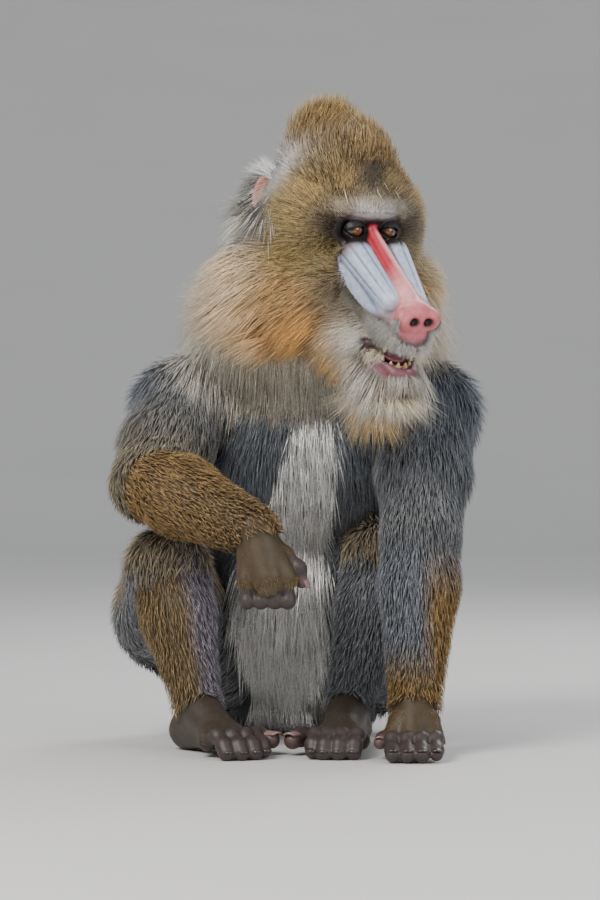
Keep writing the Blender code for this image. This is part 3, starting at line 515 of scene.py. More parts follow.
# Named places of the head's coat: where, lie, length, how far it rises, width, colour, colour of the tips
HEAD_COAT = (
    ("crest front", (0.0, -0.01, 0.088), (0.0, 0.2, 1.0), 0.032, 70, 0.9, "6a5232", "c0a068"),
    ("crest side", (0.034, 0.055, 0.084), (0.05, 0.05, 1.0), 0.044, 66, 0.9, "6c5230", "c6a264"),
    ("crest top", (0.0, 0.074, 0.09), (0.0, 0.02, 1.0), 0.05, 84, 0.9, "74562c", "caa868"),
    ("crest back", (0.0, 0.112, 0.058), (0.0, 0.25, 1.0), 0.05, 62, 1.3, "6c5432", "c0a472"),
    ("dark patch", (0.0, -0.038, 0.056), (0.0, 0.35, 1.0), 0.018, 45, 0.9, "26221e", "4e4436"),
    ("above the brow", (0.01, -0.052, 0.041), (0.0, 0.1, 1.0), 0.012, 48, 0.7, "6a5c44", "b6a47c"),
    ("brow", (0.014, -0.06, 0.027), (0.3, -0.2, 1.0), 0.0075, 40, 0.5, "969092", "d8d2d0"),
    ("brow end", (0.04, -0.048, 0.024), (0.8, 0.1, 0.6), 0.012, 45, 0.6, "5c5244", "a89c88"),
    ("beside the eye", (0.048, -0.044, 0.006), (0.9, 0.4, 0.1), 0.012, 45, 0.7, "2c2622", "6c5c44"),
    ("ear band", (0.08, 0.04, 0.028), (0.4, 0.8, 0.1), 0.034, 28, 0.9, "c4c4c4", "f6f6f4"),
    ("ear patch", (0.093, 0.024, -0.018), (0.5, 0.8, -0.1), 0.024, 40, 1.0, "141210", "38322c"),
    ("under the ear", (0.096, 0.042, -0.03), (0.55, 0.75, -0.3), 0.034, 40, 1.1, "221f1c", "6c665e"),
    ("behind the ear", (0.07, 0.082, 0.006), (0.45, 0.7, -0.5), 0.038, 26, 1.1, "6c6a66", "b8b6b0"),
    ("forehead side", (0.036, -0.036, 0.05), (0.45, 0.2, 0.9), 0.03, 62, 0.8, "6c542e", "c4a468"),
    ("temple", (0.066, -0.012, 0.03), (0.6, 0.5, 0.35), 0.026, 62, 0.9, "6a5430", "c8a86c"),
    ("before the ear", (0.084, -0.008, 0.002), (0.5, 0.65, -0.05), 0.028, 55, 1.0, "6a5630", "c6a86a"),
    ("under the eye", (0.056, -0.05, -0.022), (0.75, 0.4, -0.2), 0.016, 50, 0.8, "5e5238", "b09a68"),
    ("upper cheek", (0.084, -0.026, -0.044), (0.75, 0.4, -0.3), 0.034, 60, 0.9, "746236", "c8aa6c"),
    ("middle cheek", (0.084, -0.04, -0.08), (0.65, 0.4, -0.55), 0.054, 54, 1.1, "a8824c", "e0b880"),
    ("lower cheek", (0.07, -0.072, -0.112), (0.55, 0.3, -0.75), 0.062, 36, 1.1, "d4913a", "f2bc6c"),
    ("jaw side", (0.044, -0.11, -0.124), (0.5, 0.05, -0.85), 0.052, 26, 1.4, "d8983e", "f2cc88"),
    ("ruff", (0.112, 0.004, -0.076), (0.8, 0.5, -0.45), 0.098, 56, 1.2, "ecc48c", "f8ecd6"),
    ("ruff low", (0.104, -0.012, -0.104), (0.74, 0.3, -0.66), 0.104, 46, 1.2, "f0bc74", "f8ead0"),
    ("ruff top", (0.1, 0.04, -0.05), (0.66, 0.6, -0.5), 0.084, 50, 1.2, "d0c8bc", "f0eee8"),
    ("ruff back", (0.076, 0.084, -0.03), (0.45, 0.7, -0.6), 0.076, 36, 1.2, "86827a", "cccac4"),
    ("jaw angle", (0.076, -0.032, -0.128), (0.6, 0.12, -0.82), 0.098, 34, 1.2, "eca650", "f6dcae"),
    ("throat", (0.026, -0.06, -0.142), (0.15, 0.05, -1.0), 0.07, 16, 1.8, "d89a4c", "f0dcb4"),
    ("chin", (0.0, -0.156, -0.152), (0.0, -0.22, -1.0), 0.078, 14, 1.1, "ecd4a4", "fdf6e4"),
    ("chin side", (0.026, -0.15, -0.142), (0.3, -0.12, -0.95), 0.06, 22, 1.0, "b4aca4", "fbf6ea"),
    ("chin back", (0.0, -0.11, -0.16), (0.0, -0.12, -1.0), 0.09, 14, 1.4, "e89c38", "f8dca0"),
    ("upper lip", (0.035, -0.146, -0.09), (0.8, -0.2, -0.55), 0.017, 38, 0.5, "35302e", "d6d2cc"),
    ("lip front", (0.016, -0.186, -0.094), (0.4, -0.6, -0.7), 0.014, 40, 0.4, "6a5e5c", "fbf8f2"),
    ("muzzle side", (0.046, -0.096, -0.07), (0.8, 0.3, -0.4), 0.016, 34, 0.7, "38332c", "7c7464"),
    ("behind the lips", (0.044, -0.124, -0.1), (0.75, 0.0, -0.65), 0.026, 30, 0.9, "a8a49e", "f4f0e8"),
    ("nape", (0.0, 0.11, -0.01), (0.0, 0.5, -0.8), 0.066, 24, 1.3, "5c5446", "a09880"),
    ("crown back", (0.03, 0.104, 0.03), (0.15, 0.75, -0.3), 0.044, 30, 1.2, "6e5a38", "ac946a"),
)
PLACES = np.array([row[1] for row in HEAD_COAT])
COAT_ROWS = np.array([(*row[2], *row[3:6], *look(row[6]), *look(row[7])) for row in HEAD_COAT])


def head_coat(p):
    """Blends the named places at head points; x is taken to one side and the lie is mirrored back."""
    q = mirrored(p)
    near = np.linalg.norm(q[:, None, :] - PLACES[None, :, :], axis=-1)
    weight = 1 / (near + 0.006) ** 5
    weight /= weight.sum(axis=1, keepdims=True)
    rows = weight @ COAT_ROWS
    rows[:, 0] *= np.sign(p[:, 0] + 1e-9)
    return rows


# Middles and half widths of the face's bare places
BARE_PLACES = (
    ((0, -0.12, -0.04), (0.04, 0.088, 0.036)),
    ((0.024, -0.058, 0.004), (0.021, 0.02, 0.016)),
    ((0.025, -0.06, -0.001), (0.024, 0.026, 0.016)),
    ((0.006, -0.066, -0.004), (0.022, 0.034, 0.022)),
    ((0.025, -0.086, -0.026), (0.023, 0.034, 0.026)),
    ((0.012, -0.166, -0.107), (0.031, 0.036, 0.018)),
    ((0, -0.19, -0.06), (0.028, 0.026, 0.022)),
)


def bare_face(p):
    """1 where the face is bare, 0 where it is furred."""
    q = mirrored(p)
    bare = np.linalg.norm(q - (EAR_MIDDLE + EAR_FACING * 0.006), axis=-1) < 0.022
    for centre, radii in BARE_PLACES:
        bare = np.maximum(bare, within(q, centre, radii))
    return bare


# Marks of the face, and painted shade in the nostrils and the mouth, in the order they are laid: middle, half
# widths, colour and strength
NOSE_EYE_MARKS_AND_NOSTRIL_SHADE = (
    ((0, -0.182, -0.056), (0.03, 0.022, 0.025), "cf7076", 1.4),
    ((0.01, -0.196, -0.0575), (0.009, 0.01, 0.0074), "8e2a34", 0.8),
    # Painted shade: near-black inside the nostrils.
    ((0.01, -0.19, -0.0575), (0.0064, 0.01, 0.005), "1c0c0c", 1.2),
    ((0, -0.172, -0.126), (0.036, 0.034, 0.01), "7c4c56", 1),
    ((0, -0.178, -0.092), (0.034, 0.03, 0.0075), "4a3236", 0.9),
    ((0.034, -0.14, -0.105), (0.012, 0.02, 0.014), "3e2a2c", 1),
    ((0.026, -0.057, 0.0015), (0.0245, 0.022, 0.0155), "14100f", 1.5),
    ((0, -0.056, 0.012), (0.013, 0.014, 0.0085), "1c1414", 1),
)
BROW_MARK_AND_MOUTH_SHADE = (
    ((0.02, -0.058, 0.0265), (0.027, 0.014, 0.006), "9c9495", 1.3),
    # Painted shade: dark red-black inside the mouth.
    ((0, -0.146, -0.106), (0.027, 0.036, 0.0105), "2e1014", 1),
)
# The red stripe's half width along the nose
STRIPE_PLACES = (0.04, 0.054, 0.066, 0.085, 0.115, 0.15, 0.172)
STRIPE_HALVES = (0.004, 0.006, 0.01, 0.0125, 0.0125, 0.014, 0.02)


def marked(colour, q, marks):
    for centre, radii, code, strength in marks:
        colour = mix(colour, code, np.clip(within(q, centre, radii) * strength, 0, 1))
    return colour


def face_colour(p):
    """Markings of the skin of the head, with painted shade under the coat, in the nose's grooves, in the
    nostrils and in the mouth, and a painted highlight along the top of the nose.
    """
    q = mirrored(p)
    x, y, z = q.T
    # Painted shade: furred skin is the coat's colour at 0.55; bare places blend to mauve grey.
    colour = mix(head_coat(p)[:, 6:9] * 0.55, "7c6468", np.clip(bare_face(p) * 1.4, 0, 1))
    flank = within(q, (0.025, -0.106, -0.036), (0.0235, 0.057, 0.034))
    # Painted shade: the flanks' blue darkens to deep slate in the grooves, as deep as the relief cuts them.
    blue = mix("aebbd0", "4f5f7a", np.clip(groove(q) / GROOVE * 1.3 - 0.1, 0, 1) * 0.85)
    blue = mix(blue, "c2c4d2", np.clip((-y - 0.128) / 0.03, 0, 1) * 0.6)
    colour = mix(colour, blue, np.clip(flank * 1.6, 0, 1))
    colour = marked(colour, q, NOSE_EYE_MARKS_AND_NOSTRIL_SHADE)
    half = np.interp(-y, STRIPE_PLACES, STRIPE_HALVES)
    top = np.interp(-y, (0.045, 0.172), (0.004, -0.04))
    stripe = np.clip((half - x) / 0.0022 + 0.5, 0, 1) * np.clip((z - top + 0.018) / 0.006, 0, 1)
    stripe *= np.clip((-y - 0.046) / 0.005, 0, 1) * np.clip((0.014 - z) / 0.004, 0, 1)
    # Painted highlight: a pale pink line down the middle of the red stripe, along the top of the nose's ridge.
    centre = np.clip(1 - x / (half * 0.4 + 1e-6), 0, 1) * np.clip((-y - 0.056) / 0.01, 0, 1)
    red = mix("b01f30", "e6aba6", centre * 0.95)
    red = mix(red, "dc9496", np.clip((-y - 0.112) / 0.04, 0, 1))
    colour = mix(colour, red, stripe * np.clip((0.185 + y) / 0.01, 0, 1))
    ear = np.clip(1.4 - np.linalg.norm(q - EAR_MIDDLE, axis=-1) / 0.024, 0, 1)
    colour = mix(colour, "b88078", np.clip(ear * 2, 0, 1))
    return marked(colour, q, BROW_MARK_AND_MOUTH_SHADE)


def nearest_group(p):
    """The number in GROUPS of the shape nearest to each point."""
    best = np.full(len(p), 1e9)
    which = np.zeros(len(p), dtype=int)
    for shape in ALL_SHAPES:
        d = shape.distance(p)
        closer = d < best
        best[closer] = d[closer]
        which[closer] = GROUPS.index(shape.group)
    return which


def is_group(group, *names):
    return np.isin(group, [GROUPS.index(name) for name in names])


def share_along(p, a, b, low=0):
    return np.clip((p - a) @ (b - a) / ((b - a) @ (b - a)), low, 1)


# Half width of the belly's white strip at each height, and the two pale places at the neck's foot
WHITE_STRIP_HALF = ((0.02, 0.03), (0.12, 0.046), (0.2, 0.052), (0.28, 0.04), (0.4, 0.026), (0.46, 0.014))
COLLARS = (((-0.05, -0.03, 0.5), (0.115, 0.125, 0.082)), ((0.14, -0.02, 0.55), (0.075, 0.11, 0.08)))
# Which way the short fur of each hand and foot lies
EXTREMITY_LIE = {
    "hand": {"R": unit(V(0.014, -0.014, -0.052)), "L": V(0, -0.85, -0.4)},
    "foot": {"R": V(math.sin(0.49), -math.cos(0.49), -0.2), "L": V(-0.17, -0.98, -0.2)},
}


def body_coat(p, n, group):
    """Lie, length, rise, width, colour and tip colour of the coat on body points."""
    count = len(p)
    made = {
        "lie": np.tile(V(0, 0, -1), (count, 1)),
        "length": np.full(count, 0.03),
        "rise": np.full(count, 20.0),
        "width": np.full(count, 1.7),
        "colour": np.tile(look("626870"), (count, 1)),
        "tip": np.tile(look("acb0b4"), (count, 1)),
    }
    x, y, z = p.T

    def put(mask, **values):
        """Sets values where the mask is; each is one for all, one for each point, or a colour's code."""
        for key, value in values.items():
            value = look(value) if isinstance(value, str) else np.asarray(value)
            made[key][mask] = value[mask] if value.shape[:1] == (count,) else value

    torso = is_group(group, "torso")
    side = np.sign(x - 0.004)
    front = np.clip(-n[:, 1], 0, 1)
    put(torso, lie=np.stack((0.25 * side * (1 - front), 0.15 - 0.1 * front, -np.ones(count)), axis=-1))
    put(torso, length=stops(z, (0.0, 0.026), (0.12, 0.044), (0.3, 0.05), (0.45, 0.046)))
    put(torso, colour=mix("3f464f", "565b62", np.clip((0.3 - z) / 0.3, 0, 1)))
    put(torso, tip=mix("8f959c", "a09a8c", np.clip((0.25 - z) / 0.2, 0, 1)))
    middle = -0.014 + 0.06 * np.clip((z - 0.2) / 0.3, 0, 1) - 0.01
    ragged = 1 + 0.16 * np.sin(z * 190 + np.sin(x * 300)) + 0.1 * np.sin(z * 470)
    white = torso & (np.abs(x - middle) < stops(z, *WHITE_STRIP_HALF) * ragged) & (n[:, 1] < -0.1)
    put(white, colour="ebe8e3", tip="fdfcfa", rise=12.0)
    put(white, length=stops(z, (0.0, 0.06), (0.2, 0.085), (0.42, 0.06)))
    rump = torso & (y > 0.17) & (z < 0.19)
    put(rump, length=0.012, rise=10.0, colour="6a6a86", tip="9a90b4")

    neck = is_group(group, "neck")
    out = unit(np.stack((x - 0.02, y - 0.02, np.zeros(count)), axis=-1))
    high = np.clip((z - 0.47) / 0.07, 0, 1)
    left = high * np.clip((x - 0.05) / 0.05, 0, 1)
    put(neck, lie=out * 0.45 + V(0, 0, -0.9), length=0.076 + 0.024 * high + 0.022 * left)
    put(neck, rise=20 + 22 * high + 12 * left, width=1.5)
    flank = np.clip(1 - np.abs(y + 0.01 + 0.35 * (z - 0.56)) / 0.11, 0, 1)
    pale = high * np.clip(flank * 1.6, 0, 1)
    put(neck, colour=mix("474e58", "c4bcac", pale), tip=mix("949aa2", "ece8de", pale))

    for name, (shoulder, elbow, wrist) in ARMS.items():
        upper, fore = is_group(group, "upper" + name), is_group(group, "fore" + name)
        along = share_along(p, shoulder, elbow, -0.5)
        put(upper, lie=unit(elbow - shoulder) + V(0, 0, -0.25), rise=20.0, width=1.5)
        put(upper, length=stops(along, (-0.5, 0.048), (0.4, 0.04), (1.0, 0.03)))
        brown = np.clip(along, 0, 1) * (1.0 if name == "R" else 0.25)
        put(upper, colour=mix("454c56", "5c5850", brown), tip=mix("9298a0", "a89a7c", brown))
        share = share_along(p, elbow, wrist)
        put(fore, lie=unit(wrist - elbow) + V(0, 0, -0.1), rise=17.0, width=1.6)
        put(fore, length=stops(share, (0, 0.026), (0.6, 0.022), (1, 0.014)))
        if name == "R":
            put(fore, colour=mix("6a5434", "5e4a30", share), tip=mix("b8935a", "a08458", share))
        else:
            outer = np.clip((x - 0.14) / 0.02, 0, 1) * np.clip(share / 0.35, 0, 1)
            golden = np.clip(np.maximum(outer, (share - 0.62) / 0.25), 0, 1)
            put(fore, colour=mix("4c525a", "68522f", golden), tip=mix("9a9ea4", "b08c54", golden))

    above = np.clip((n[:, 2] - 0.05) / 0.5 + 6 * (z - 0.19), 0, 1)
    for name, (hip, _, knee, ankle) in LEGS.items():
        thigh, shank = is_group(group, "thigh" + name), is_group(group, "shank" + name)
        put(thigh, lie=unit(knee - hip) * 0.5 + V(0, 0, -0.7), length=0.034, rise=15.0, width=1.8)
        put(thigh, colour=mix("4e5258", "5c5344", above), tip=mix("98999a", "a4957a", above))
        put(shank, lie=unit(ankle - knee), length=0.02, rise=14.0, width=1.5, colour="50545a", tip="949698")
    olive = np.clip((-0.5 * n[:, 0] - 0.5 * n[:, 1]) * 3 - 0.35, 0, 1)
    olive_shank = is_group(group, "shankR")
    put(olive_shank, colour=mix("6c6670", "5c4c32", olive), tip=mix("a8a0aa", "a88c5c", olive))

    for name in ARMS:
        way = EXTREMITY_LIE["hand"][name]
        hand, fingers = is_group(group, "hand" + name), is_group(group, "fingers" + name)
        put(hand | fingers, lie=way)
        put(hand, length=0.011, rise=16.0, width=1.1, colour="54442c", tip="a08658")
        put(fingers, length=0.004, width=0.7, colour="2c2624", tip="6a5c48")
        way = EXTREMITY_LIE["foot"][name]
        paw, toes = is_group(group, "foot" + name), is_group(group, "toes" + name)
        put(paw | toes, lie=way)
        put(paw, length=0.01, rise=16.0, width=1.1, colour="4a3f34", tip="94846a")
        put(toes, length=0.004, width=0.7, colour="2e2826", tip="6a6056")

    chest_line = 0.006 * np.sin(x * 230) + 0.004 * np.sin(x * 610 + 1)
    collar = within(p, *COLLARS[0]) * np.clip((z + chest_line - 0.415) / 0.03, 0, 1)
    collar = np.maximum(collar, within(p, *COLLARS[1]))
    collar = (collar * is_group(group, "torso", "neck", "upperR", "upperL"))[:, None]
    cream = mix("ddc59c", "c2bdb2", np.clip((-x - 0.04) / 0.06, 0, 1))
    made["colour"] += (cream - made["colour"]) * collar * 0.85
    made["tip"] += (look("f2ebdc") - made["tip"]) * collar * 0.85
    made["length"] = np.maximum(made["length"], 0.08 * collar[:, 0])
    put(is_group(group, "tail"), lie=V(0, 0.3, 1.0), length=0.022, rise=25.0, colour="4c4a46", tip="9a9488")
    return made.values()


def body_colour(p, n, group):
    """Markings of the body's skin: the coat's own, made a little darker as painted shade under the coat, and
    bare where there is none.
    """
    *_, colour, _ = body_coat(p, n, group)
    # Painted shade: skin under the coat is the coat's colour at 0.62.
    colour = colour * 0.62
    colour[is_group(group, "fingersR", "fingersL", "toesR", "toesL")] = look("3a302e")
    for _, ends in HANDS.values():
        near = np.clip(1.25 - np.linalg.norm(p - ends[-1][0], axis=-1) / 0.012, 0, 1)
        colour = mix(colour, "8c6a68", near * 0.6)
    seat = is_group(group, "torso") & (p[:, 1] > 0.16) & (p[:, 2] < 0.2)
    from_middle = np.abs(p[:, 0])
    patch = mix("56649a", "a0465e", np.clip(1 - from_middle / 0.05, 0, 1))
    patch = mix(patch, "7a6498", np.clip((0.07 - from_middle) / 0.02, 0, 1) * 0.4)
    colour[seat] = patch[seat]
    return colour


# Meshes

def mesh_object(name, points, faces, material, colours, uvs=None):
    """A smooth mesh from arrays, with a colour at each point."""
    corners = faces.shape[1]
    data = bpy.data.meshes.new(name)
    data.vertices.add(len(points))
    data.vertices.foreach_set("co", (points + SHIFT).astype(np.float32).ravel())
    data.loops.add(faces.size)
    data.loops.foreach_set("vertex_index", faces.astype(np.int32).ravel())
    data.polygons.add(len(faces))
    data.polygons.foreach_set("loop_start", np.arange(0, faces.size, corners, dtype=np.int32))
    data.polygons.foreach_set("use_smooth", np.full(len(faces), True))
    layer = data.color_attributes.new("Col", "FLOAT_COLOR", "POINT")
    rgba = np.concatenate((colours, np.ones((len(colours), 1))), axis=1)
    layer.data.foreach_set("color", rgba.astype(np.float32).ravel())
    if uvs is not None:
        layer = data.uv_layers.new(name="OFBake")
        layer.data.foreach_set("uv", uvs[faces.ravel()].astype(np.float32).ravel())
    data.update(calc_edges=True)
    data.validate()
    data.materials.append(material)
    made = bpy.data.objects.new(name, data)
    bpy.context.scene.collection.objects.link(made)
    return made


def joined(parts):
    """One array each of points, faces and colours, from parts that have all three."""
    starts = np.cumsum([0] + [len(points) for points, _, _ in parts[:-1]])
    points, faces, colours = zip(*parts)
    faces = [face + start for face, start in zip(faces, starts)]
    return np.concatenate(points), np.concatenate(faces), np.concatenate(colours)


def normals_of(points, faces):
    a, b, c, d = points[faces].transpose(1, 0, 2)
    normal = np.cross(c - a, d - b)
    out = np.zeros_like(points)
    for corner in range(4):
        np.add.at(out, faces[:, corner], normal)
    return unit(out)


def spread(points, faces, normals, count, keep):
    """Points spread over the faces by area; keep gives each face's share."""
    corner = points[faces]
    area = 0.5 * np.linalg.norm(np.cross(corner[:, 2] - corner[:, 0], corner[:, 3] - corner[:, 1]), axis=-1)
    total = np.cumsum(area * keep)
    pick = np.searchsorted(total, (np.arange(count) + rng.random(count)) / count * total[-1])
    pick = np.minimum(pick, len(faces) - 1)
    u, v = rng.random(count)[:, None], rng.random(count)[:, None]

    def at(c):
        return (c[:, 0] * (1 - u) + c[:, 1] * u) * (1 - v) + (c[:, 3] * (1 - u) + c[:, 2] * u) * v

    return at(corner[pick]), unit(at(normals[faces[pick]]))


def unwrap(points, normals):
    """Each point's place on six flat views of the skin's own shape, set side by side in one square."""
    axis = np.argmax(np.abs(normals), axis=-1)
    positive = np.take_along_axis(normals, axis[:, None], axis=1)[:, 0] > 0
    low, high = points.min(axis=0), points.max(axis=0)
    share = (points - low) / np.maximum(high - low, 1e-6)
    u = np.choose(axis, (share[:, 1], share[:, 0], share[:, 0]))
    v = np.choose(axis, (share[:, 2], share[:, 2], share[:, 1]))
    return np.stack(((axis + 0.02 + 0.96 * u) / 3, (positive + 0.02 + 0.96 * v) / 2), axis=-1)


def tuft_faces(stations):
    """Triangles of one three-sided tuft: its root, its sides and its tip."""
    faces = [(0, 1, 2)]
    for ring in range(stations - 1):
        for corner in range(3):
            a, b = ring * 3 + corner, ring * 3 + (corner + 1) % 3
            faces += [(a, a + 3, b), (b, a + 3, b + 3)]
    last = (stations - 1) * 3
    faces += [(last + corner, stations * 3, last + (corner + 1) % 3) for corner in range(3)]
    return np.array(faces)


CREST_SPECKLE = 0.36
# Width of a tuft at each ring, by its number of rings
PROFILES = {1: (1.0,), 2: (0.85, 0.8)}
TUFT_SINK = 0.002
LOWEST_TIP = 0.0012
BAKE_PATCH = 0.003
MOST_TRIANGLES = 190000


def tufts(name, root, normal, coat_rows, droop, stations, speckle, clear=True):
    """Closed, tapered, three-sided tufts, joined in pieces of fewer than 200,000 triangles."""
    lie, length, rise, width, colour, tip = coat_rows
    count = len(root)
    along = unit(lie - (lie * normal).sum(axis=-1, keepdims=True) * normal)
    jitter = rng.normal(0, 0.1, (count, 3))
    along = unit(along + jitter - (jitter * normal).sum(axis=-1, keepdims=True) * normal)
    angle = np.radians(np.clip(rise * rng.uniform(0.6, 1.35, count), 2, 85))[:, None]
    uneven = 0.45 if speckle == CREST_SPECKLE else 0.2
    length = (length * rng.uniform(0.95 - uneven, 0.95 + uneven, count))[:, None]
    across = unit(np.cross(along, normal))
    shares = np.linspace(0, 1, stations + 1)
    wave = rng.normal(0, 0.045, (count, 1))
    paths = []
    for s in shares:
        p = root - normal * TUFT_SINK
        p = p + length * (along * np.cos(angle) * s + normal * np.sin(angle) * s * (1 - 0.42 * s))
        paths.append(p + length * s * s * (droop + across * wave))
    if clear:
        base = rng.uniform(0.0015, 0.006, count)
        for index in range(1, stations + 1):
            distance, outward = whole.sample(paths[index])
            push = np.clip(base * (0.5 + shares[index]) - distance, 0, 0.03)[:, None]
            paths[index] = paths[index] + outward * push
    for path in paths[1:]:
        path[:, 2] = np.maximum(path[:, 2], LOWEST_TIP)

    half = (width * 0.0005 * rng.uniform(0.8, 1.25, count))[:, None]
    shade = np.exp(rng.normal(0, min(speckle, 0.25), (count, 1)))
    if speckle > 0.3:
        golden = (tip[:, 2:] < 0.45 * tip[:, :1]) & (rng.random((count, 1)) < speckle)
        tip = tip * np.where(golden, 0.25, 1.12)
    home = unwrap(root, normal)
    per = stations * 3 + 1
    points, colours, uvs = np.empty((count, per, 3)), np.empty((count, per, 3)), np.empty((count, per, 2))
    for ring, s in enumerate(shares[:-1]):
        w = half * PROFILES[stations][ring]
        # Painted shade: each tuft's root is 0.62 of the coat's colour and reaches the full colour a third of
        # the way out; from there it runs to the real tip colour.
        value = mix(colour * 0.62, colour, np.full(count, min(1, s * 3)))
        value = mix(value, tip, np.full(count, np.clip((s - 0.3) / 0.6, 0, 1))) * shade
        sides = ((across * w, 0.5), (-across * w, -0.5), (normal * w * 0.7, 0.0))
        for corner, (aside, offset) in enumerate(sides, ring * 3):
            points[:, corner] = paths[ring] + aside
            colours[:, corner] = value
            uvs[:, corner] = home + BAKE_PATCH * V(offset, s - 0.5)
    points[:, -1], colours[:, -1], uvs[:, -1] = paths[-1], tip * shade, home + BAKE_PATCH * V(0, 0.5)

    one = tuft_faces(stations)
    most = MOST_TRIANGLES // len(one)
    order = np.lexsort((root[:, 2], root[:, 0])) if count > most else np.arange(count)
    for number, start in enumerate(range(0, count, most)):
        mine = order[start : start + most]
        faces = (one[None] + (np.arange(len(mine)) * per)[:, None, None]).reshape(-1, 3)
        label = name if count <= most else f"{name}_{number + 1}"
        flat = [array[mine].reshape(-1, array.shape[2]) for array in (points, colours, uvs)]
        obj = mesh_object(label, flat[0], faces, coat_look, flat[1], flat[2])
        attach(obj, "root")


# Materials

class Look:
    """A material in the mesh's own colours, which layers of noise make lighter and darker."""

    def __init__(self, name, layers, **values):
        self.material = bpy.data.materials.new(name)
        self.material.use_nodes = True
        self.tree = self.material.node_tree
        self.shader = self.tree.nodes["Principled BSDF"]
        self.set(self.shader, **values)
        self.place = self.node("TexCoord").outputs["Object"]
        attribute = self.node("Attribute")
        attribute.attribute_name = "Col"
        colour = attribute.outputs["Color"]
        for size, detail, low, high, dark, light in layers:
            self.noise = self.pattern("TexNoise", Scale=size, Detail=detail).outputs["Fac"]
            levels = self.node("MapRange", From_Min=low, From_Max=high, To_Min=dark, To_Max=light)
            scaled = self.node("VectorMath")
            scaled.operation = "SCALE"
            self.link(self.noise, levels.inputs["Value"])
            self.link(colour, scaled.inputs[0])
            self.link(levels.outputs["Result"], scaled.inputs["Scale"])
            colour = scaled.outputs["Vector"]
        self.link(colour, self.shader.inputs["Base Color"])

    def set(self, node, **values):
        """Sets inputs by name, with underscores for the spaces."""
        for key, value in values.items():
            node.inputs[key.replace("_", " ")].default_value = value

    def node(self, kind, **values):
        made = self.tree.nodes.new("ShaderNode" + kind)
        self.set(made, **values)
        return made

    def link(self, start, end):
        self.tree.links.new(start, end)

    def pattern(self, kind, **values):
        """A texture that is fixed to the object."""
        made = self.node(kind, **values)
        self.link(self.place, made.inputs["Vector"])
        return made

    def raise_by(self, height, strength, distance, under=None):
        """Raises the surface by a pattern, over another bump if one is given."""
        bump = self.node("Bump", Strength=strength, Distance=distance)
        self.link(height, bump.inputs["Height"])
        if under is not None:
            self.link(under.outputs["Normal"], bump.inputs["Normal"])
        self.link(bump.outputs["Normal"], self.shader.inputs["Normal"])
        return bump


def skin_material():
    made = Look("skin", ((160.0, 4.0, 0.3, 0.7, 0.84, 1.14),), Roughness=0.46, Specular_IOR_Level=0.45)
    cells = made.pattern("TexVoronoi", Scale=620.0)
    cells.feature = "DISTANCE_TO_EDGE"
    fine = made.pattern("TexNoise", Scale=900.0)
    bump = made.raise_by(cells.outputs["Distance"], 0.32, 0.0006)
    made.raise_by(fine.outputs["Fac"], 0.25, 0.0005, bump)
    return made.material


def wet_material(name, roughness, coat, size, height):
    """A finely bumped material with a clear coat, for eyes, teeth, tongue and nails."""
    layers = ((size, 2.0, 0.0, 1.0, 0.88, 1.12),)
    made = Look(name, layers, Roughness=roughness, Coat_Weight=coat, Coat_Roughness=0.03)
    made.raise_by(made.noise, 0.2, height)
    return made.material


# Layers of noise: size, detail, the range read from it, and how dark and light it makes the colour
COAT_LAYERS = ((420.0, 2.0, 0.3, 0.7, 0.7, 1.3), (38.0, 2.0, 0.3, 0.7, 0.86, 1.12))
coat_look = Look("coat", COAT_LAYERS, Roughness=0.62, Specular_IOR_Level=0.32, Sheen_Weight=0.12).material
skin_look = skin_material()


# The skin: head, body, hands and feet in one object

head_normals = normals_of(head_points, head_faces)
body_normals = normals_of(body_points, body_faces)
skin_parts = [
    (from_head(head_points), head_faces, face_colour(head_points)),
    (body_points, body_faces, body_colour(body_points, body_normals, nearest_group(body_points))),
]
extremities = {}
for name, (rods, _) in HANDS.items():
    points, faces = make_extremity_field(rods).surface()
    normals = normals_of(points, faces)
    extremities[name] = (points, faces, normals)
    skin_parts.append((points, faces, body_colour(points, normals, nearest_group(points))))
points, faces, colours = joined(skin_parts)
skin = mesh_object("skin", points, faces, skin_look, colours)
FLESH = [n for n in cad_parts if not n.startswith(("eye_", "teeth_", "tongue"))]
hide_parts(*FLESH)
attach(skin, "root")


# The coat of the head

FEW = 1.0
middles = head_points[head_faces].mean(axis=1)
lengths = head_coat(middles)[:, 3]
under_neck = (middles[:, 2] < -0.1) & (middles[:, 1] > 0.02)
furred = (bare_face(middles) < 0.35) & ~under_neck
crest_area = (middles[:, 2] > 0.04) & (middles[:, 1] > -0.02)
short = furred & ~crest_area & (lengths < 0.045)


def head_tufts(name, count, keep, stations, speckle):
    root, normal = spread(head_points, head_faces, head_normals, int(count * FEW), keep)
    rows = head_coat(root)
    length = rows[:, 3]
    droop = np.zeros_like(root)
    droop[:, 2] = -0.25 * np.clip((length - 0.03) / 0.05, 0, 1)
    crest = (root[:, 2] > 0.04) & (length > 0.024)
    gather = np.stack((-root[:, 0], 0.08 - root[:, 1], np.zeros(len(root))), axis=-1) * 2
    droop[crest] = gather[crest] * V(1, 0.6, 1)
    coat_rows = (turn_from_head(rows[:, :3]), length, rows[:, 4], rows[:, 5], rows[:, 6:9], rows[:, 9:12])
    place, facing = from_head(root), turn_from_head(normal)
    tufts(name, place, facing, coat_rows, turn_from_head(droop), stations, speckle)


head_tufts("coat_mask", 60000, short * np.where(lengths < 0.02, 1.5, 1.0), 1, 0.42)
head_tufts("coat_crest", 10000, furred * crest_area, 2, CREST_SPECKLE)
head_tufts("coat_ruff", 26000, furred * ~crest_area * (lengths > 0.038), 2, 0.14)


# The coat of the body

def body_tufts(name, count, keep, stations=2, source=(body_points, body_faces, body_normals)):
    root, normal = spread(*source, int(count * FEW), keep)
    coat_rows = tuple(body_coat(root, normal, nearest_group(root)))
    droop = np.zeros_like(root)
    droop[:, 2] = -0.15 * np.clip((coat_rows[1] - 0.03) / 0.05, 0, 1)
    tufts(name, root, normal, coat_rows, droop, stations, 0.24, clear=stations > 1)


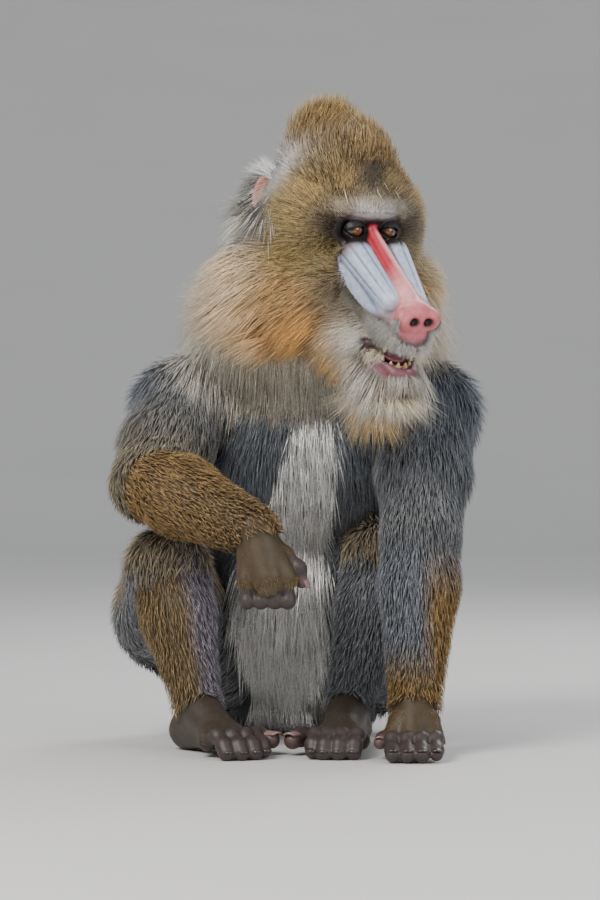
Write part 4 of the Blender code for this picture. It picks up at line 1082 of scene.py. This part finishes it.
middles = body_points[body_faces].mean(axis=1)
face_group = nearest_group(middles)
in_head = np.linalg.norm(to_head(middles) - V(0, -0.01, -0.03), axis=-1) < 0.075
bald = (middles[:, 1] > 0.18) & (middles[:, 2] < 0.15) & (np.abs(middles[:, 0]) < 0.08)
body_tufts("coat_neck", 15000, is_group(face_group, "neck") & ~in_head)
body_tufts("coat_torso", 22000, is_group(face_group, "torso") & ~bald)
body_tufts("coat_arm_right", 12500, is_group(face_group, "upperR", "foreR"))
body_tufts("coat_arm_left", 12500, is_group(face_group, "upperL", "foreL"))
body_tufts("coat_leg_right", 9500, is_group(face_group, "thighR", "shankR"))
body_tufts("coat_leg_left", 9500, is_group(face_group, "thighL", "shankL", "tail"))
for name, (points, faces, normals) in extremities.items():
    middles = points[faces].mean(axis=1)
    face_group = nearest_group(middles)
    main = is_group(face_group, "hand" + name[-1], "foot" + name[-1])
    fingers = is_group(face_group, "fingers" + name[-1], "toes" + name[-1])
    facing = normals[faces[:, 0]]
    upper = facing[:, 1] < 0.3 if name == "handR" else facing[:, 2] > -0.2
    keep = (main * 1.0 + fingers * 0.25) * upper * (middles[:, 2] > 0.004)
    body_tufts("coat_" + name, 5000, keep, 1, (points, faces, normals))


# Eyes

EYE_RINGS, EYE_AROUND = 48, 56


def eye_colours(q):
    """Colours by angle from the line of sight, q being unit vectors in the eye's own directions."""
    angle = np.degrees(np.arccos(np.clip(-q[:, 1], -1, 1)))
    turn = np.arctan2(q[:, 2], q[:, 0])
    rays = 0.5 + 0.5 * np.sin(turn * 37 + 3 * np.sin(turn * 11))
    iris = mix("5a3314", "96602a", rays * 0.6)
    iris = mix(iris, "3a1c0a", np.clip((angle - 24) / 8, 0, 1))
    colour = np.where((angle < 11)[:, None], look("050303"), iris)
    return mix(colour, "2c1a16", np.clip((angle - 33) / 4, 0, 1))


def make_eye(name, node, side, sight):
    """An eyeball with a slightly swollen cornea, turned to look along sight."""
    forward = unit(V(*sight))
    right = unit(np.cross(forward, UP))
    axes = np.stack((right, -forward, np.cross(right, forward)), axis=0)
    a = math.pi * np.arange(1, EYE_RINGS)[:, None] / EYE_RINGS
    b = 2 * math.pi * np.arange(EYE_AROUND)[None, :] / EYE_AROUND
    ball = np.stack((np.sin(a) * np.cos(b), -np.cos(a) + 0 * b, np.sin(a) * np.sin(b)), axis=-1)
    ball = ball * (1 + 0.05 * np.exp(-((np.degrees(a) / 24) ** 2)))[..., None]
    points = np.concatenate((V(0, -1.05, 0)[None], ball.reshape(-1, 3), V(0, 1, 0)[None]))
    faces = []
    last = 1 + (EYE_RINGS - 2) * EYE_AROUND
    for j in range(EYE_AROUND):
        k = (j + 1) % EYE_AROUND
        faces.append((0, 1 + j, 1 + k))
        for a in range(1, last, EYE_AROUND):
            b = a + EYE_AROUND
            faces += [(a + j, b + j, b + k), (a + j, b + k, a + k)]
        faces.append((last + j, len(points) - 1, last + k))
    placed = from_head(EYE * V(side, 1, 1)) + EYE_RADIUS * 0.985 * turn_from_head(points @ axes)
    obj = mesh_object(name, placed, np.array(faces), eye_look, eye_colours(unit(points)))
    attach(obj, "root")
    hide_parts(node)


eye_look = wet_material("eye", 0.12, 1.0, 300.0, 0.00002)
make_eye("eyeball_left", "eye_left", 1, (-0.08, -1, 0.26))
make_eye("eyeball_right", "eye_right", -1, (-0.12, -1, 0.26))


# Teeth, tongue and nails

# One side's teeth in millimetres, back to front: places, then each tooth's height and thickness
ARCH = V(25.5, -128, 24.5, -138, 23.5, -147, 20.5, -162.5, 13.5, -171.5, 5, -175.5).reshape(6, 2) / 1000
UPPER = V(6, 4.4, 6, 4.2, 6, 4, 13.5, 4.2, 6, 3.4, 7, 4.2).reshape(6, 2) / 1000
LOWER = V(5, 4.2, 5, 4, 5, 3.8, 8.5, 3.6, 4.5, 3, 4.5, 3).reshape(6, 2) / 1000
GUM = 0.0038


def make_teeth(name, node, level, way, sizes):
    """One row of teeth in its gum, upward or downward by way."""
    field = Field((-0.034, -0.186, level - 0.02), (0.034, -0.118, level + 0.02), 0.0007)
    for (x, y), (long, thick) in zip(ARCH, sizes):
        shape = Rod((x, y, level), (x * 0.97, y + 0.001, level + way * long), thick, thick * 0.42)
        field.add(shape, 0.0008, margin=0.004, mirror=True)
    root = level - way * 0.003
    for (xa, ya), (xb, yb) in zip(ARCH, ARCH[1:]):
        shape = Rod((xa * 0.96, ya, root), (xb * 0.96, yb, root), GUM, GUM)
        field.add(shape, 0.002, margin=0.004, mirror=True)
    field.add(Rod((0.005, -0.175, root), (-0.005, -0.175, root), GUM, GUM), 0.002, margin=0.004)
    points, faces = field.surface()
    out = np.abs(points[:, 2] - level) * np.sign((points[:, 2] - level) * way)
    enamel = mix("b8954e", "e6d6a6", np.clip(out / 0.006, 0, 1))
    colours = mix("6e3a40", enamel, np.clip((out + 0.0005) / 0.0015, 0, 1))
    obj = mesh_object(name, from_head(points), faces, tooth_look, colours)
    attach(obj, "root")
    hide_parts(node)


tooth_look = wet_material("tooth", 0.28, 0.4, 500.0, 0.0001)
make_teeth("teeth_row_upper", "teeth_upper", -0.0925, -1, UPPER)
make_teeth("teeth_row_lower", "teeth_lower", -0.1205, 1, LOWER)

tongue_field = Field((-0.024, -0.176, -0.128), (0.024, -0.1, -0.104), 0.001)
tongue_field.add(Egg((0, -0.14, -0.116), (0.017, 0.03, 0.006)), 0.002)
tongue_field.cut(Rod((0, -0.166, -0.1095), (0, -0.115, -0.1085), 0.0012, 0.0012), 0.003)
points, faces = tongue_field.surface()
tongue_look = wet_material("tongue", 0.3, 0.3, 700.0, 0.0004)
colours = np.tile(look("b06a74"), (len(points), 1))
tongue = mesh_object("tongue_soft", from_head(points), faces, tongue_look, colours)
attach(tongue, "root")
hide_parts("tongue")

NAIL_ROWS, NAIL_COLUMNS = 6, 7
NAIL, GREAT_TOE_NAIL = 0.0076, 0.0104
THUMB = 4


def nail(tip, along, up, radius):
    """A curved plate on the upper side of a digit's end."""
    across = unit(np.cross(along, up))
    up = unit(np.cross(across, along))
    grid = []
    for layer in (1.0, 0.8):
        for v in np.arange(NAIL_ROWS) / (NAIL_ROWS - 1):
            for u in -1 + 2 * np.arange(NAIL_COLUMNS) / (NAIL_COLUMNS - 1):
                turn = u * math.radians(58) * (1 - 0.25 * v * v)
                size = radius * (1.04 + 0.06 * v) * layer
                reach = radius * (-0.75 + 1.9 * v * (1 - 0.1 * u * u))
                grid.append(tip + along * reach + (across * math.sin(turn) + up * math.cos(turn)) * size)
    ids = np.arange(NAIL_ROWS * NAIL_COLUMNS).reshape(NAIL_ROWS, NAIL_COLUMNS)
    size = ids.size
    faces = []
    for a in ids[:-1, :-1].ravel():
        faces.append((a, a + 1, a + NAIL_COLUMNS + 1, a + NAIL_COLUMNS))
        faces.append((size + a, size + a + NAIL_COLUMNS, size + a + NAIL_COLUMNS + 1, size + a + 1))
    ring = [*ids[0], *ids[1:, -1], *ids[-1, -2::-1], *ids[-2:0:-1, 0]]
    for a, b in zip(ring, ring[1:] + ring[:1]):
        faces.append((b, a, size + a, size + b))
    return np.array(grid), np.array(faces)


nail_parts = []
for name, (_, ends) in HANDS.items():
    for number, (tip, along) in enumerate(ends):
        if name != "handR":
            up, along = UP, along * V(1, 1, 0.55)
        elif number == THUMB:
            up = V(0.9, -0.3, 0.3)
        else:
            up, along = V(0, -1, 0), V(0, 0.3, 0.95)
        radius = GREAT_TOE_NAIL if number == THUMB and "foot" in name else NAIL
        points, faces = nail(tip, unit(along), up, radius)
        tone = look("8c706a" if number == THUMB else "3a302c")
        nail_parts.append((points, faces, np.tile(tone, (len(points), 1))))
points, faces, colours = joined(nail_parts)
nails = mesh_object("nails", points, faces, wet_material("nail", 0.3, 0.25, 260.0, 0.0002), colours)
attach(nails, "root")


# Floor, light and camera

FLOOR_FLAT, FLOOR_CURVE, FLOOR_TOP = 6.0, 3.0, 4.0
FLOOR_AROUND = 96


def make_floor():
    """A round floor whose far edge curves up, the same from every side."""
    profile = [(0.001, 0.0), (1.5, 0.0), (3.5, 0.0), (FLOOR_FLAT, 0.0)]
    for a in math.pi / 2 * np.arange(1, 13) / 12:
        profile.append((FLOOR_FLAT + FLOOR_CURVE * math.sin(a), FLOOR_CURVE - FLOOR_CURVE * math.cos(a)))
    profile.append((FLOOR_FLAT + FLOOR_CURVE, FLOOR_TOP))
    turns = 2 * math.pi * np.arange(FLOOR_AROUND) / FLOOR_AROUND
    points = [(radius * math.sin(a), radius * math.cos(a), height) for radius, height in profile for a in turns]
    ids = np.arange(len(points)).reshape(-1, FLOOR_AROUND)
    after = np.roll(ids, -1, axis=1)
    faces = np.stack((ids[:-1], after[:-1], after[1:], ids[1:]), axis=-1).reshape(-1, 4)
    data = bpy.data.meshes.new("floor")
    data.from_pydata(points, [], faces.tolist())
    data.shade_smooth()
    data.materials.append(floor_material())
    made = bpy.data.objects.new("floor", data)
    bpy.context.scene.collection.objects.link(made)


def floor_material():
    made = bpy.data.materials.new("floor")
    made.use_nodes = True
    tree = made.node_tree
    shader = tree.nodes["Principled BSDF"]
    noise = tree.nodes.new("ShaderNodeTexNoise")
    noise.inputs["Scale"].default_value = 30.0
    tones = tree.nodes.new("ShaderNodeValToRGB")
    tones.color_ramp.elements[0].color = (0.6, 0.59, 0.57, 1)
    tones.color_ramp.elements[1].color = (0.66, 0.65, 0.63, 1)
    tree.links.new(noise.outputs["Fac"], tones.inputs["Fac"])
    tree.links.new(tones.outputs["Color"], shader.inputs["Base Color"])
    shader.inputs["Roughness"].default_value = 0.7
    return made


def aim(obj, target):
    way = Vector(target) - obj.location
    obj.rotation_euler = way.to_track_quat("-Z", "Y").to_euler()


def lamp(name, place, target, size, power, colour=(1, 1, 1)):
    data = bpy.data.lights.new(name, "AREA")
    data.shape = "DISK"
    data.size = size
    data.energy = power
    data.color = colour
    made = bpy.data.objects.new(name, data)
    made.location = place
    bpy.context.scene.collection.objects.link(made)
    aim(made, target)


make_floor()
lamp("key", (-1.6, -2.4, 2.6), (0, 0, 0.4), 1.8, 140, (1.0, 0.97, 0.93))
lamp("fill", (2.4, -2.2, 1.4), (0, 0, 0.4), 2.2, 38, (0.93, 0.96, 1.0))
lamp("rim", (1.2, 2.0, 2.2), (0, 0, 0.5), 1.4, 40)
world = bpy.data.worlds.new("studio")
bpy.context.scene.world = world
world.use_nodes = True
background = world.node_tree.nodes["Background"]
background.inputs["Color"].default_value = (0.8, 0.83, 0.88, 1)
background.inputs["Strength"].default_value = 0.75

CAMERA_PLACE, CAMERA_TARGET = V(0, -4.6, 0.42), V(0, -0.1, 0.36)
camera_data = bpy.data.cameras.new("camera")
camera_data.lens = 150
camera_data.sensor_width = 36
camera = bpy.data.objects.new("camera", camera_data)
camera.location = CAMERA_PLACE + SHIFT
bpy.context.scene.collection.objects.link(camera)
aim(camera, CAMERA_TARGET + SHIFT)
bpy.context.scene.camera = camera
